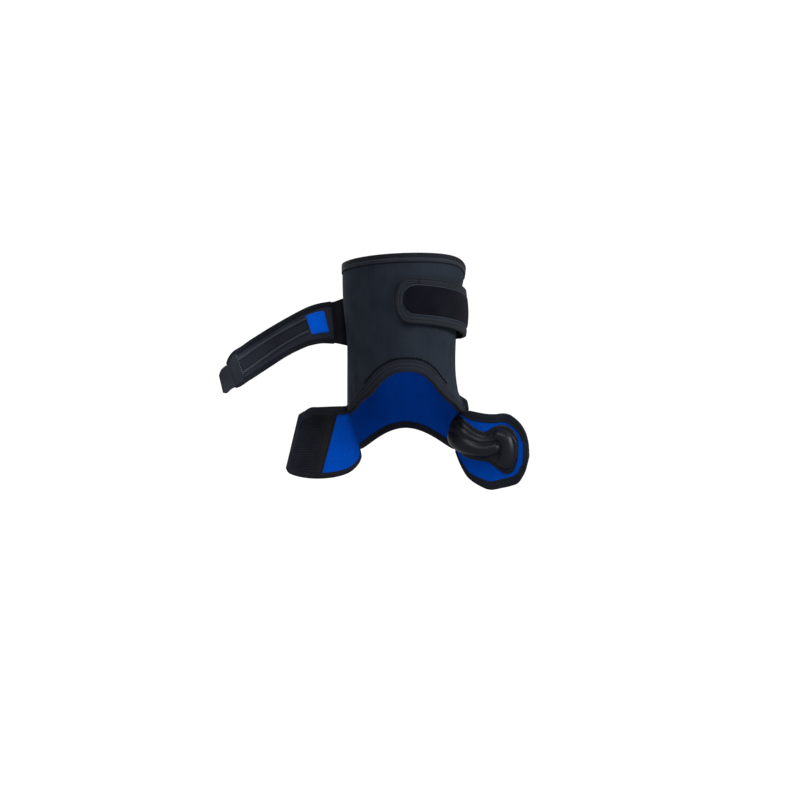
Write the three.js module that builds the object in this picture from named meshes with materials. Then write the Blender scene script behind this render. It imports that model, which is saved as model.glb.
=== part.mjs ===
// Patella stabilizing knee brace, undone: thigh cuff, two wings, J-shaped buttress pad and thigh strap.
// Millimetres, +Z up, the front faces -Y, the origin is on the leg's axis at knee height.
import * as THREE from "three";

// Layers of the sewn wall, from the leg outwards, and the folded edge tape
const LINING = 1.0;
const LAYER_GAP = 0.3;
const SHELL = 2.7;
const WALL = LINING + LAYER_GAP + SHELL;
const TAPE = 0.8;
const TAPE_GAP = 0.5;
const PANEL = 1.2;

// Thigh cuff: the inside face by height, the top edge and the lower edge
const CUFF_SECTIONS = [
  { z: -75, midX: 5, halfWidth: 56, midY: 3, halfDepth: 58 },
  { z: -45, midX: 3, halfWidth: 58, midY: 2, halfDepth: 60 },
  { z: -10, midX: 0.4, halfWidth: 61, midY: 1, halfDepth: 62 },
  { z: 2, midX: -0.7, halfWidth: 60, midY: 1, halfDepth: 62 },
  { z: 28, midX: -2.8, halfWidth: 58, midY: 1, halfDepth: 62 },
  { z: 66, midX: -3, halfWidth: 58, midY: 1, halfDepth: 63 },
  { z: 114, midX: -2, halfWidth: 61.6, midY: 2, halfDepth: 65 },
  { z: 147, midX: 0, halfWidth: 65.6, midY: 4, halfDepth: 67 },
  { z: 175, midX: 0.5, halfWidth: 66.4, midY: 5, halfDepth: 68 },
];
const TOP_HEIGHT = 156.2;
const TOP_TILT = 4.9;
const TOP_ROLL = 2.4;
const TOP_DIP = { depth: 8, angle: 100, spread: 22 };
const ARCH = { foot: -14, rise: 46, angle: 4.5, spread: 40, power: 3 };
const NOTCH_ANGLE = 90;
const HINGE_ANGLE = 108;
const HINGE_FOOT = -56;
const BACK_RISE = 24;
const PUCKER = { reach: 9, angle: 97, spread: 9, height: -7, rise: 7 };
const CUFF_STEP = 9;
const CUFF_ROWS = [0, 0.06, 0.25, 0.45, 0.65, 0.85, 1];
const TOP_TAPE = 9;
const ARCH_TAPE = 14;
const BACK_TAPE = 8;
const INNER_TAPE = 7;
const ARCH_TAPE_END = 72;

// Wings: top and low edge of each section from the hinge to the end, on the lined face
const LEFT_WING = [
  { topX: -60.6, topY: 0.5, topZ: -15, lowX: -48.8, lowY: 19.5, lowZ: -57 },
  { topX: -62.2, topY: -6, topZ: -15.6, lowX: -49.4, lowY: 13, lowZ: -66 },
  { topX: -69, topY: -10.5, topZ: -12, lowX: -53, lowY: 8, lowZ: -74 },
  { topX: -77, topY: -12, topZ: -8.3, lowX: -62, lowY: 3, lowZ: -82.3 },
  { topX: -87, topY: -13, topZ: -8.4, lowX: -76, lowY: -3, lowZ: -87.3 },
  { topX: -97, topY: -14, topZ: -8.6, lowX: -92, lowY: -9, lowZ: -89.3 },
  { topX: -105, topY: -15, topZ: -9.2, lowX: -107, lowY: -14, lowZ: -89 },
  { topX: -112, topY: -17, topZ: -13.4, lowX: -120, lowY: -18, lowZ: -86.6 },
  { topX: -117.5, topY: -19, topZ: -16.4, lowX: -130, lowY: -22, lowZ: -83.2 },
  { topX: -119.5, topY: -19.5, topZ: -19, lowX: -133.4, lowY: -23, lowZ: -78 },
];
const RIGHT_WING = [
  { topX: 63.5, topY: 0.5, topZ: -15, lowX: 57.2, lowY: 19.5, lowZ: -57 },
  { topX: 65.5, topY: -6, topZ: -15.6, lowX: 60, lowY: 13, lowZ: -67 },
  { topX: 73, topY: -10.5, topZ: -14, lowX: 65.5, lowY: 6, lowZ: -79 },
  { topX: 83, topY: -12, topZ: -15.2, lowX: 74, lowY: 0, lowZ: -89 },
  { topX: 93, topY: -13, topZ: -16.7, lowX: 85, lowY: -6, lowZ: -96.6 },
  { topX: 103, topY: -14, topZ: -16.9, lowX: 97, lowY: -11, lowZ: -101 },
  { topX: 113, topY: -15, topZ: -16, lowX: 110, lowY: -15, lowZ: -98.8 },
  { topX: 122, topY: -17, topZ: -17.5, lowX: 122, lowY: -18, lowZ: -97 },
  { topX: 130.5, topY: -19, topZ: -24.5, lowX: 131.5, lowY: -21, lowZ: -93.5 },
  { topX: 137, topY: -21, topZ: -34, lowX: 137, lowY: -22, lowZ: -84 },
  { topX: 140.6, topY: -22, topZ: -45, lowX: 140.4, lowY: -23, lowZ: -71 },
];
const WING_ROWS = 4;
const WING_STEPS = 2;
const WING_TAPE = 7.5;
const WING_TAPE_START = 0.2;
const HINGE_GAP = { turn: 1.6, drop: 0.8 };
const HINGE_FIT = 0.15;

// Hook panel of the left wing: its edges seen from the front, by section from the slanted inner border
const HOOK_PANEL = [
  { topX: -76.8, topZ: -17.4, lowX: -91.4, lowZ: -80.4 },
  { topX: -90, topZ: -17.4, lowX: -101, lowZ: -80.6 },
  { topX: -102, topZ: -17.6, lowX: -112, lowZ: -79.6 },
  { topX: -108, topZ: -20.6, lowX: -119.3, lowZ: -77.8 },
  { topX: -110.6, topZ: -23.4, lowX: -122.8, lowZ: -75.4 },
];
const HOOK_STEPS = 8;

// J-shaped buttress: its rim seen from the front, by section from the root to the head
const BUTTRESS = [
  { topX: 59.5, topZ: -21, lowX: 61, lowZ: -53 },
  { topX: 67.3, topZ: -24.3, lowX: 65.5, lowZ: -60.5 },
  { topX: 75.2, topZ: -30.8, lowX: 72, lowZ: -65.5 },
  { topX: 84.8, topZ: -35.8, lowX: 83, lowZ: -68.4 },
  { topX: 94.6, topZ: -35.8, lowX: 93.5, lowZ: -69.9 },
  { topX: 102.6, topZ: -32.5, lowX: 100.8, lowZ: -73.8 },
  { topX: 107.2, topZ: -29.1, lowX: 108.8, lowZ: -80.1 },
  { topX: 114.6, topZ: -29.6, lowX: 116.7, lowZ: -84.1 },
  { topX: 121.4, topZ: -33, lowX: 123.1, lowZ: -82.6 },
  { topX: 127.1, topZ: -40.2, lowX: 127.5, lowZ: -75.2 },
  { topX: 130, topZ: -49, lowX: 130, lowZ: -60.4 },
];
const FLANGE = 1.2;
const PAD_HEIGHT = 11;
const PAD_INSET = 0.13;
const PAD_FROM = 0.05;
const PAD_TO = 0.95;
const PAD_FULLNESS = 0.6;
const BUTTRESS_STEPS = 20;
const FLANGE_ROWS = 4;
const PAD_ROWS = 8;

// Thigh strap on the cuff: height of its middle and the slack under it, by angle round the leg
const STRAP_COURSE = [
  { angle: -10, midZ: 109.4, slack: 1.8, lean: 1 },
  { angle: 30, midZ: 107, slack: 1.8, lean: 0.8 },
  { angle: 60, midZ: 103.6, slack: 2.4, lean: 0.3 },
  { angle: 90, midZ: 99.5, slack: 3.6, lean: 0 },
  { angle: 130, midZ: 95, slack: 2, lean: 0 },
  { angle: 180, midZ: 93, slack: 0.8, lean: 0 },
  { angle: 212, midZ: 91, slack: 0.8, lean: 0 },
];
const STRAP = 2.2;
const STRAP_WIDTH = 47;
const BACK_WIDTH = 50;
const STRAP_TIP = -4.6;
const STRAP_JOIN = 108;
const STRAP_LEAVES = 207;
const STRAP_END = { length: 17, power: 2.3, first: 0.02, steps: 6 };
const STRAP_STEP = 9;
const STRAP_ROWS = 2;
const STRAP_TAPE = 6;
const JOIN_GAP = 2;
const LOOP_PANEL_INSET = 8;

// Free arm of the thigh strap: its two edges from the cuff to the end, on the face towards the front
const FREE_ARM = [
  { topX: -80.4, topY: 32, topZ: 112.8, lowX: -80.4, lowY: 32, lowZ: 68.2 },
  { topX: -98.6, topY: 27, topZ: 110.2, lowX: -94.2, lowY: 28, lowZ: 68.5 },
  { topX: -111.8, topY: 24, topZ: 105, lowX: -105.4, lowY: 25, lowZ: 66 },
  { topX: -130, topY: 20, topZ: 94.5, lowX: -115.5, lowY: 22, lowZ: 62.2 },
  { topX: -152.4, topY: 16, topZ: 81.2, lowX: -134.5, lowY: 18, lowZ: 51.4 },
  { topX: -174.8, topY: 12, topZ: 66.9, lowX: -156, lowY: 14, lowZ: 37.3 },
  { topX: -186, topY: 9, topZ: 58.8, lowX: -168.4, lowY: 11, lowZ: 29 },
  { topX: -194, topY: 7, topZ: 52, lowX: -178.8, lowY: 9, lowZ: 22.6 },
  { topX: -198.4, topY: 6, topZ: 46.6, lowX: -186.6, lowY: 8, lowZ: 17.4 },
  { topX: -200.8, topY: 5.5, topZ: 41.6, lowX: -191.4, lowY: 7, lowZ: 15.2 },
];
const PULL_TAB = [
  { topX: -203.4, topY: 3.6, topZ: 37.8, lowX: -196.6, lowY: 5, lowZ: 13.6 },
  { topX: -207.4, topY: 2.4, topZ: 34.6, lowX: -201.2, lowY: 3.6, lowZ: 9.2 },
  { topX: -209.8, topY: 1.8, topZ: 28.4, lowX: -205.6, lowY: 3, lowZ: 9 },
];
const TAB = 1.6;
const ARM_STEPS = 2;
const ARM_TAPE = 5;
const ARM_PATCH = { from: 0.085, to: 0.225, top: 0.2, low: 0.76 };
const ARM_HOOK = { from: 0.25, to: 0.83, top: 0.36, low: 0.62 };
const ARM_RIB = { height: 1.8, upper: 0.27, lower: 0.71, width: 0.1 };
const ARM_HOOK_STEPS = 10;

// Finishes
const BLACK = { color: 0x1e232a, roughness: 0.85, metalness: 0 };
const BLUE = { color: 0x063c98, roughness: 0.9, metalness: 0 };
const TAPE_BLACK = { color: 0x1b1d22, roughness: 0.75, metalness: 0 };
const HOOK_BLACK = { color: 0x15181f, roughness: 0.7, metalness: 0 };
const LOOP_BLACK = { color: 0x14141c, roughness: 0.95, metalness: 0 };
const PAD_BLACK = { color: 0x1f2024, roughness: 0.5, metalness: 0 };

const NEWTON_STEPS = 12;
const NEWTON_EDGE = 0.005;
const RIM_GUESS = 0.1;

const radians = THREE.MathUtils.degToRad;

// A table read as smooth curves: returns a function that gives every column at a place along the key.
function readTable(rows, key) {
  const columns = Object.keys(rows[0]).filter((name) => name !== key);
  const places = rows.map((row) => row[key]);
  const values = rows.flatMap((row) => columns.map((name) => row[name]));
  const curve = new THREE.CubicInterpolant(places, values, columns.length);
  return (at) => {
    const found = curve.evaluate(at);
    return Object.fromEntries(columns.map((name, i) => [name, found[i]]));
  };
}

// Shares from 0 to 1 in equal steps.
function shares(steps, from = 0, to = 1) {
  return Array.from({ length: steps + 1 }, (_, i) => THREE.MathUtils.lerp(from, to, i / steps));
}

// Angles in degrees in equal steps, both ends included.
function angles(from, to, step) {
  return shares(Math.round((to - from) / step), from, to);
}

const cuffForm = readTable(CUFF_SECTIONS, "z");
const strapCourse = readTable(STRAP_COURSE, "angle");

// How far the wall stands out in the small pucker above the right hinge.
function pucker(angle, z) {
  const across = ((angle - PUCKER.angle) / PUCKER.spread) ** 2;
  const along = ((z - PUCKER.height) / PUCKER.rise) ** 2;
  return PUCKER.reach * Math.exp(-across - along);
}

// A point of the cuff at an angle from the front, a height and a distance out from its inside face.
function cuffPoint(angle, z, out) {
  const form = cuffForm(z);
  const turn = radians(angle);
  const swell = out + pucker(angle, z);
  return new THREE.Vector3(
    form.midX + (form.halfWidth + swell) * Math.sin(turn),
    form.midY - (form.halfDepth + swell) * Math.cos(turn),
    z,
  );
}

// Height of the cuff's top edge, higher in front and dipped at the right side.
function topEdge(angle) {
  const turn = radians(angle);
  const dip = TOP_DIP.depth * Math.exp(-(((angle - TOP_DIP.angle) / TOP_DIP.spread) ** 2));
  return TOP_HEIGHT + TOP_TILT * Math.cos(turn) + TOP_ROLL * Math.sin(turn) - dip;
}

// Height of the cuff's lower edge: the bell-shaped arch, the two hinge lines and the rise behind the knee.
function lowEdge(angle) {
  const side = Math.abs(angle);
  if (side <= NOTCH_ANGLE) {
    const off = Math.abs(angle - ARCH.angle) / ARCH.spread;
    return ARCH.foot + ARCH.rise * Math.exp(-(off ** ARCH.power));
  }
  const down = Math.min((side - NOTCH_ANGLE) / (HINGE_ANGLE - NOTCH_ANGLE), 1);
  const back = THREE.MathUtils.smoothstep(side, HINGE_ANGLE, 180);
  return THREE.MathUtils.lerp(ARCH.foot, HINGE_FOOT, down) + BACK_RISE * back;
}

// The ruled surface between the two edges of a table of sections: u runs along it and v from top to low edge.
function ruledSurface(rows) {
  const edge = (side) =>
    new THREE.CatmullRomCurve3(
      rows.map((row) => new THREE.Vector3(row[side + "X"], row[side + "Y"], row[side + "Z"])),
      false,
      "catmullrom",
    );
  const top = edge("top");
  const low = edge("low");
  return (u, v) => {
    const along = THREE.MathUtils.clamp(u, 0, 1);
    return top.getPoint(along).lerp(low.getPoint(along), v);
  };
}

// The u, v place on a surface that is seen at x, z from the front, found by Newton steps from a first guess.
function locate(surface, x, z, guess = [0.5, 0.5]) {
  const step = 1e-4;
  let [u, v] = guess;
  for (let pass = 0; pass < NEWTON_STEPS; pass++) {
    const here = surface(u, v);
    const du = surface(u + step, v).sub(surface(u - step, v)).divideScalar(2 * step);
    const dv = surface(u, v + step).sub(surface(u, v - step)).divideScalar(2 * step);
    const det = du.x * dv.z - dv.x * du.z;
    const [offX, offZ] = [x - here.x, z - here.z];
    u = THREE.MathUtils.clamp(u + (offX * dv.z - offZ * dv.x) / det, NEWTON_EDGE, 1 - NEWTON_EDGE);
    v = THREE.MathUtils.clamp(v + (offZ * du.x - offX * du.z) / det, NEWTON_EDGE, 1 - NEWTON_EDGE);
  }
  return [u, v];
}

// A shape drawn from the front by a table of sections, laid on a surface.
function laidOn(surface, rows) {
  const seen = ruledSurface(rows.map((row) => ({ ...row, topY: 0, lowY: 0 })));
  return (u, v) => {
    const spot = seen(u, v);
    return surface(...locate(surface, spot.x, spot.z));
  };
}

// The unit normal of a surface, on the side that the given way, or the way at u, names as outwards.
function normalOf(surface, u, v, way) {
  const step = 1e-3;
  const alongU = surface(u + step, v).sub(surface(u - step, v));
  const alongV = surface(u, v + step).sub(surface(u, v - step));
  const normal = alongU.cross(alongV).normalize();
  const side = typeof way === "function" ? way(u) : way;
  return normal.dot(side) < 0 ? normal.negate() : normal;
}

// Triangles of points and faces as a geometry whose faces point outwards.
function closedGeometry(points, faces) {
  const volume = faces.reduce(
    (sum, [a, b, c]) => sum + points[a].dot(points[b].clone().cross(points[c])),
    0,
  );
  const outward = volume < 0 ? faces.map(([a, b, c]) => [a, c, b]) : faces;
  return new THREE.BufferGeometry().setFromPoints(points).setIndex(outward.flat());
}

// A wall between two faces of a grid: at(i, j, face) gives the point, face 0 or 1; closed runs round in i.
function wallGeometry(countU, countV, at, closed = false) {
  const points = [];
  for (let i = 0; i < countU; i++)
    for (let j = 0; j < countV; j++) points.push(at(i, j, 0), at(i, j, 1));
  const id = (i, j, face) => ((i % countU) * countV + j) * 2 + face;
  const faces = [];
  const quad = (a, b, c, d) => faces.push([a, b, c], [a, c, d]);
  const spans = closed ? countU : countU - 1;
  for (let i = 0; i < spans; i++) {
    for (let j = 0; j + 1 < countV; j++) {
      quad(id(i, j, 1), id(i + 1, j, 1), id(i + 1, j + 1, 1), id(i, j + 1, 1));
      quad(id(i, j, 0), id(i, j + 1, 0), id(i + 1, j + 1, 0), id(i + 1, j, 0));
    }
    quad(id(i, 0, 0), id(i + 1, 0, 0), id(i + 1, 0, 1), id(i, 0, 1));
    quad(id(i, countV - 1, 0), id(i, countV - 1, 1), id(i + 1, countV - 1, 1), id(i + 1, countV - 1, 0));
  }
  if (!closed)
    for (let j = 0; j + 1 < countV; j++) {
      quad(id(0, j, 0), id(0, j, 1), id(0, j + 1, 1), id(0, j + 1, 0));
      const end = countU - 1;
      quad(id(end, j, 0), id(end, j + 1, 0), id(end, j + 1, 1), id(end, j, 1));
    }
  return closedGeometry(points, faces);
}

// A layer of a ruled surface between two distances out from its face; near and far may change over the layer.
function layerGeometry(surface, way, us, vs, near, far) {
  const level = (value, u, v) => (typeof value === "function" ? value(u, v) : value);
  return wallGeometry(us.length, vs.length, (i, j, face) => {
    const u = typeof us[i] === "function" ? us[i](vs[j]) : us[i];
    const v = vs[j];
    const out = level(face ? far : near, u, v);
    return surface(u, v).addScaledVector(normalOf(surface, u, v, way), out);
  });
}

// The folded section of edge tape round a wall: pairs of inset from the edge and level from the inside face.
function tapeSection(wall, outerReach, innerReach) {
  const fold = TAPE_GAP + TAPE;
  return [
    [outerReach, wall + TAPE_GAP],
    [outerReach, wall + fold],
    [-fold, wall + fold],
    [-fold, -fold],
    [innerReach, -fold],
    [innerReach, -TAPE_GAP],
    [-TAPE_GAP, -TAPE_GAP],
    [-TAPE_GAP, wall + TAPE_GAP],
  ];
}

// A section carried along an edge: each frame gives the point for an inset and a level.
function tapeGeometry(frames, section, closed = false) {
  const size = section.length;
  const points = frames.flatMap((frame) => section.map(([inset, level]) => frame(inset, level)));
  const faces = [];
  const spans = closed ? frames.length : frames.length - 1;
  for (let i = 0; i < spans; i++)
    for (let k = 0; k < size; k++) {
      const here = i * size;
      const next = ((i + 1) % frames.length) * size;
      const up = (k + 1) % size;
      faces.push([here + k, here + up, next + up], [here + k, next + up, next + k]);
    }
  if (!closed) {
    const flat = section.map(([inset, level]) => new THREE.Vector2(inset, level));
    const end = (frames.length - 1) * size;
    const turn = Math.sign(THREE.ShapeUtils.area(flat));
    for (const [a, b, c] of THREE.ShapeUtils.triangulateShape(flat, [])) {
      const sameTurn = Math.sign(THREE.ShapeUtils.area([flat[a], flat[b], flat[c]])) === turn;
      const [p, q, r] = sameTurn ? [a, b, c] : [a, c, b];
      faces.push([p, r, q], [end + p, end + q, end + r]);
    }
  }
  return closedGeometry(points, faces);
}

// Frames along the rim of a surface, whose points are u, v pairs in order with the sheet on one side.
// Insets that lie on a surface seen from the front are settled on it, others stay in the tangent plane.
function rimFrames(surface, way, rim, facesFront) {
  const points = rim.map(([u, v]) => surface(u, v));
  return rim.map(([u, v], i) => {
    const before = points[Math.max(i - 1, 0)];
    const after = points[Math.min(i + 1, points.length - 1)];
    const here = points[i];
    const normal = normalOf(surface, u, v, way);
    const inward = after.clone().sub(before).cross(normal).normalize();
    const guess = [THREE.MathUtils.lerp(u, 0.5, RIM_GUESS), THREE.MathUtils.lerp(v, 0.5, RIM_GUESS)];
    if (inward.dot(surface(...guess).sub(here)) < 0) inward.negate();
    const into = here.clone().sub(before).normalize();
    const away = after.clone().sub(here).normalize();
    const mitre = i && i + 1 < rim.length ? 1 / Math.sqrt((1 + into.dot(away)) / 2) : 1;
    return (inset, level) => {
      const flat = here.clone().addScaledVector(inward, inset * mitre);
      if (inset <= 0 || !facesFront) return flat.addScaledVector(normal, level);
      const spot = locate(surface, flat.x, flat.z, guess);
      return surface(...spot).addScaledVector(normalOf(surface, ...spot, way), level);
    };
  });
}

// A rim that runs along the top edge, down the end and back along the low edge.
function openRim(from, us, vs) {
  const along = us.filter((u) => u >= from);
  const down = vs.slice(1, -1);
  return [
    ...along.map((u) => [u, 0]),
    ...down.map((v) => [1, v]),
    ...along.toReversed().map((u) => [u, 1]),
  ];
}

const brace = new THREE.Group();

// Adds one named piece with its finish.
function addPiece(name, geometry, finish) {
  geometry.computeVertexNormals();
  const piece = new THREE.Mesh(geometry, new THREE.MeshStandardMaterial(finish));
  piece.name = name;
  brace.add(piece);
}

// Cuff shell and lining: closed rings between the two edges.
function addCuff() {
  const round = angles(-180, 180 - CUFF_STEP, CUFF_STEP);
  const ring = (near, far) =>
    wallGeometry(
      round.length,
      CUFF_ROWS.length,
      (i, j, face) => {
        const z = THREE.MathUtils.lerp(topEdge(round[i]), lowEdge(round[i]), CUFF_ROWS[j]);
        return cuffPoint(round[i], z, face ? far : near);
      },
      true,
    );
  addPiece("thigh_cuff", ring(LINING + LAYER_GAP, WALL), BLACK);
  addPiece("cuff_lining", ring(0, LINING), BLUE);
}

// Edge tapes of the cuff: the insets run straight up or down from the edge.
function addCuffTapes() {
  const frames = (round, edge, up) =>
    round.map((angle) => (inset, level) => cuffPoint(angle, edge(angle) + up * inset, level));
  const ring = angles(-180, 180 - CUFF_STEP, CUFF_STEP);
  const arch = angles(-ARCH_TAPE_END, ARCH_TAPE_END, CUFF_STEP);
  const back = angles(HINGE_ANGLE + CUFF_STEP, 360 - HINGE_ANGLE - CUFF_STEP, CUFF_STEP);
  const backEdge = (angle) => lowEdge(angle > 180 ? angle - 360 : angle);
  const top = tapeGeometry(frames(ring, topEdge, -1), tapeSection(WALL, TOP_TAPE, INNER_TAPE), true);
  addPiece("top_binding", top, TAPE_BLACK);
  const front = tapeGeometry(frames(arch, lowEdge, 1), tapeSection(WALL, ARCH_TAPE, INNER_TAPE));
  addPiece("arch_binding", front, TAPE_BLACK);
  const low = tapeGeometry(frames(back, backEdge, 1), tapeSection(WALL, BACK_TAPE, INNER_TAPE));
  addPiece("back_binding", low, TAPE_BLACK);
}

const BACKWARDS = new THREE.Vector3(0, 1, 0);

// A wing's lined face: the ruled surface of its sections, drawn to the cuff's hinge line at its root.
function hingedSurface(rows) {
  const ruled = ruledSurface(rows);
  const side = Math.sign(rows[0].topX);
  return (u, v) => {
    const place = ruled(u, v);
    const pull = 1 - THREE.MathUtils.smoothstep(u, 0, HINGE_FIT);
    const share = THREE.MathUtils.clamp(v, 0, 1);
    const angle = side * THREE.MathUtils.lerp(NOTCH_ANGLE, HINGE_ANGLE, share);
    const hinge = cuffPoint(angle - side * HINGE_GAP.turn, lowEdge(angle) - HINGE_GAP.drop, 0);
    return place.addScaledVector(hinge.sub(ruled(0, share)), pull);
  };
}

// A wing: shell, lining and the tape round its free edge.
function addWing(name, rows) {
  const surface = hingedSurface(rows);
  const us = shares((rows.length - 1) * WING_STEPS);
  const vs = shares(WING_ROWS);
  const layer = (near, far) => layerGeometry(surface, BACKWARDS, us, vs, near, far);
  addPiece(name, layer(LINING + LAYER_GAP, WALL), BLACK);
  addPiece(name + "_lining", layer(0, LINING), BLUE);
  const rim = openRim(WING_TAPE_START, us, vs);
  const frames = rimFrames(surface, BACKWARDS, rim, true);
  const tape = tapeGeometry(frames, tapeSection(WALL, WING_TAPE, WING_TAPE));
  addPiece(name + "_binding", tape, TAPE_BLACK);
  return surface;
}

// Hook panel: a thin layer on the lined face of the left wing with a slanted inner border.
function addHookPanel(wing) {
  const vs = shares(WING_ROWS);
  const face = laidOn(wing, HOOK_PANEL);
  const panel = layerGeometry(face, BACKWARDS, shares(HOOK_STEPS), vs, -LAYER_GAP - PANEL, -LAYER_GAP);
  addPiece("hook_panel", panel, HOOK_BLACK);
}

// Buttress: a flat sewn flange on the right wing's lining and the raised J-shaped pad on it.
function addButtress(wing) {
  const onWing = laidOn(wing, BUTTRESS);
  const flangeAt = -LAYER_GAP - FLANGE;
  const flange = layerGeometry(
    onWing,
    BACKWARDS,
    shares(BUTTRESS_STEPS),
    shares(FLANGE_ROWS),
    flangeAt,
    -LAYER_GAP,
  );
  addPiece("buttress_flange", flange, PAD_BLACK);
  const base = flangeAt - LAYER_GAP;
  const swell = (u, v) => {
    const across = (v - PAD_INSET) / (1 - 2 * PAD_INSET);
    const along = (u - PAD_FROM) / (PAD_TO - PAD_FROM);
    const round = Math.sin(Math.PI * across) * Math.sin(Math.PI * along);
    return base - FLANGE / 2 - PAD_HEIGHT * Math.max(round, 0) ** PAD_FULLNESS;
  };
  const pad = layerGeometry(
    onWing,
    BACKWARDS,
    shares(BUTTRESS_STEPS, PAD_FROM, PAD_TO),
    shares(PAD_ROWS, PAD_INSET, 1 - PAD_INSET),
    swell,
    base,
  );
  addPiece("buttress_pad", pad, PAD_BLACK);
}

// A point of the strap's inside face on the cuff: share runs from its top edge to its low edge.
function strapPoint(angle, share, width) {
  const course = strapCourse(angle);
  const z = course.midZ + (0.5 - share) * width;
  const bearing = THREE.MathUtils.lerp(course.midZ + STRAP_WIDTH / 2, z, course.lean);
  return cuffPoint(angle, bearing, WALL + course.slack).setZ(z);
}

// Share of the full width near the round end, as a superellipse of the distance from the tip.
function endShare(distance) {
  const along = 1 - THREE.MathUtils.clamp(distance / STRAP_END.length, STRAP_END.first, 1);
  return (1 - along ** STRAP_END.power) ** (1 / STRAP_END.power);
}

// The round-ended arm on the cuff as a surface from its tip to the join, narrower and shorter by an inset.
function roundArm(inset) {
  const perDegree = radians(1) * (cuffForm(STRAP_COURSE[0].midZ).halfDepth + WALL);
  const tip = STRAP_TIP + inset / perDegree;
  const round = STRAP_END.length / perDegree;
  const nearTip = shares(STRAP_END.steps).map((share) => tip + round * share ** 2);
  const steps = Math.round((STRAP_JOIN - JOIN_GAP - tip - round) / STRAP_STEP);
  const stations = [...nearTip, ...shares(steps, tip + round, STRAP_JOIN - JOIN_GAP).slice(1)];
  const last = stations.length - 1;
  const angleAt = (u) => {
    const place = THREE.MathUtils.clamp(u, 0, 1) * last;
    const i = Math.min(Math.floor(place), last - 1);
    return THREE.MathUtils.lerp(stations[i], stations[i + 1], place - i);
  };
  const surface = (u, v) => {
    const angle = angleAt(u);
    const width = (STRAP_WIDTH - 2 * inset) * endShare((angle - tip) * perDegree);
    return strapPoint(angle, v, width);
  };
  const outwards = (u) => {
    const turn = radians(angleAt(u));
    return new THREE.Vector3(Math.sin(turn), -Math.cos(turn), 0);
  };
  return { surface, outwards, us: shares(last) };
}

// Front arm of the strap with its round end, its edge tape and the loop panel.
function addFrontArm() {
  const vs = shares(STRAP_ROWS);
  const arm = roundArm(0);
  addPiece("front_strap", layerGeometry(arm.surface, arm.outwards, arm.us, vs, 0, STRAP), BLACK);
  const panel = roundArm(LOOP_PANEL_INSET);
  const panelAt = STRAP + LAYER_GAP;
  addPiece(
    "loop_panel",
    layerGeometry(panel.surface, panel.outwards, panel.us, vs, panelAt, panelAt + PANEL),
    LOOP_BLACK,
  );
  const rim = [...arm.us.toReversed().map((u) => [u, 0]), [0, 0.5], ...arm.us.map((u) => [u, 1])];
  const frames = rimFrames(arm.surface, arm.outwards, rim, false);
  const tape = tapeGeometry(frames, tapeSection(STRAP, STRAP_TAPE, STRAP_TAPE));
  addPiece("front_strap_binding", tape, TAPE_BLACK);
}

// The plain stretch of the strap behind the cuff, which leaves it on the left to meet the free arm.
function addBackStrap() {
  const behind = angles(STRAP_JOIN, STRAP_LEAVES, STRAP_STEP);
  const arrival = FREE_ARM[0];
  const last = behind.length;
  const surface = (u, v) => {
    const place = THREE.MathUtils.clamp(u, 0, 1) * last;
    const i = Math.min(Math.floor(place), last - 1);
    const from = strapPoint(behind[i], v, BACK_WIDTH);
    const z = THREE.MathUtils.lerp(arrival.topZ, arrival.lowZ, v);
    const meeting = new THREE.Vector3(arrival.topX + JOIN_GAP, arrival.topY, z);
    const to = i + 1 < last ? strapPoint(behind[i + 1], v, BACK_WIDTH) : meeting;
    return from.lerp(to, place - i);
  };
  const outwards = (u) => surface(u, 0.5).setZ(0);
  const stretch = layerGeometry(surface, outwards, shares(last), shares(STRAP_ROWS), 0, STRAP);
  addPiece("back_strap", stretch, BLACK);
}

// Free arm: body, edge tape, blue square, hook strip with two raised edges, and the pull tab.
function addFreeArm() {
  const surface = ruledSurface(FREE_ARM);
  const us = shares((FREE_ARM.length - 1) * ARM_STEPS);
  const vs = shares(STRAP_ROWS);
  addPiece("side_strap", layerGeometry(surface, BACKWARDS, us, vs, 0, STRAP), BLACK);
  const rim = openRim(0, us, vs);
  const frames = rimFrames(surface, BACKWARDS, rim, true);
  addPiece("side_strap_binding", tapeGeometry(frames, tapeSection(STRAP, ARM_TAPE, ARM_TAPE)), TAPE_BLACK);

  const onFace = (spot, height) =>
    layerGeometry(
      surface,
      BACKWARDS,
      shares(ARM_HOOK_STEPS, spot.from, spot.to),
      [spot.top, spot.low],
      -LAYER_GAP - height,
      -LAYER_GAP,
    );
  addPiece("strap_lining", onFace(ARM_PATCH, LINING), BLUE);
  addPiece("hook_strip", onFace(ARM_HOOK, PANEL), HOOK_BLACK);
  const rib = (middle) => ({
    from: ARM_HOOK.from,
    to: ARM_HOOK.to,
    top: middle - ARM_RIB.width / 2,
    low: middle + ARM_RIB.width / 2,
  });
  addPiece("upper_rib", onFace(rib(ARM_RIB.upper), ARM_RIB.height), TAPE_BLACK);
  addPiece("lower_rib", onFace(rib(ARM_RIB.lower), ARM_RIB.height), TAPE_BLACK);
  const tab = ruledSurface(PULL_TAB);
  const tabSteps = shares((PULL_TAB.length - 1) * ARM_STEPS);
  addPiece("pull_tab", layerGeometry(tab, BACKWARDS, tabSteps, vs, 0, TAB), HOOK_BLACK);
}

addCuff();
addCuffTapes();
const leftWing = addWing("left_wing", LEFT_WING);
addHookPanel(leftWing);
const rightWing = addWing("right_wing", RIGHT_WING);
addButtress(rightWing);
addFrontArm();
addBackStrap();
addFreeArm();

export default brace;
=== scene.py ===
"""Looks of an undone patella stabilizing knee brace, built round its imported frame.

Sizes are millimetres until a mesh is made, and the front of the knee faces -Y. Angles round the leg are
degrees from the front, positive towards +X.
"""

import logging
import math
from collections.abc import Callable, Sequence
from dataclasses import dataclass, replace
from enum import Enum
from typing import NamedTuple

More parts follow.
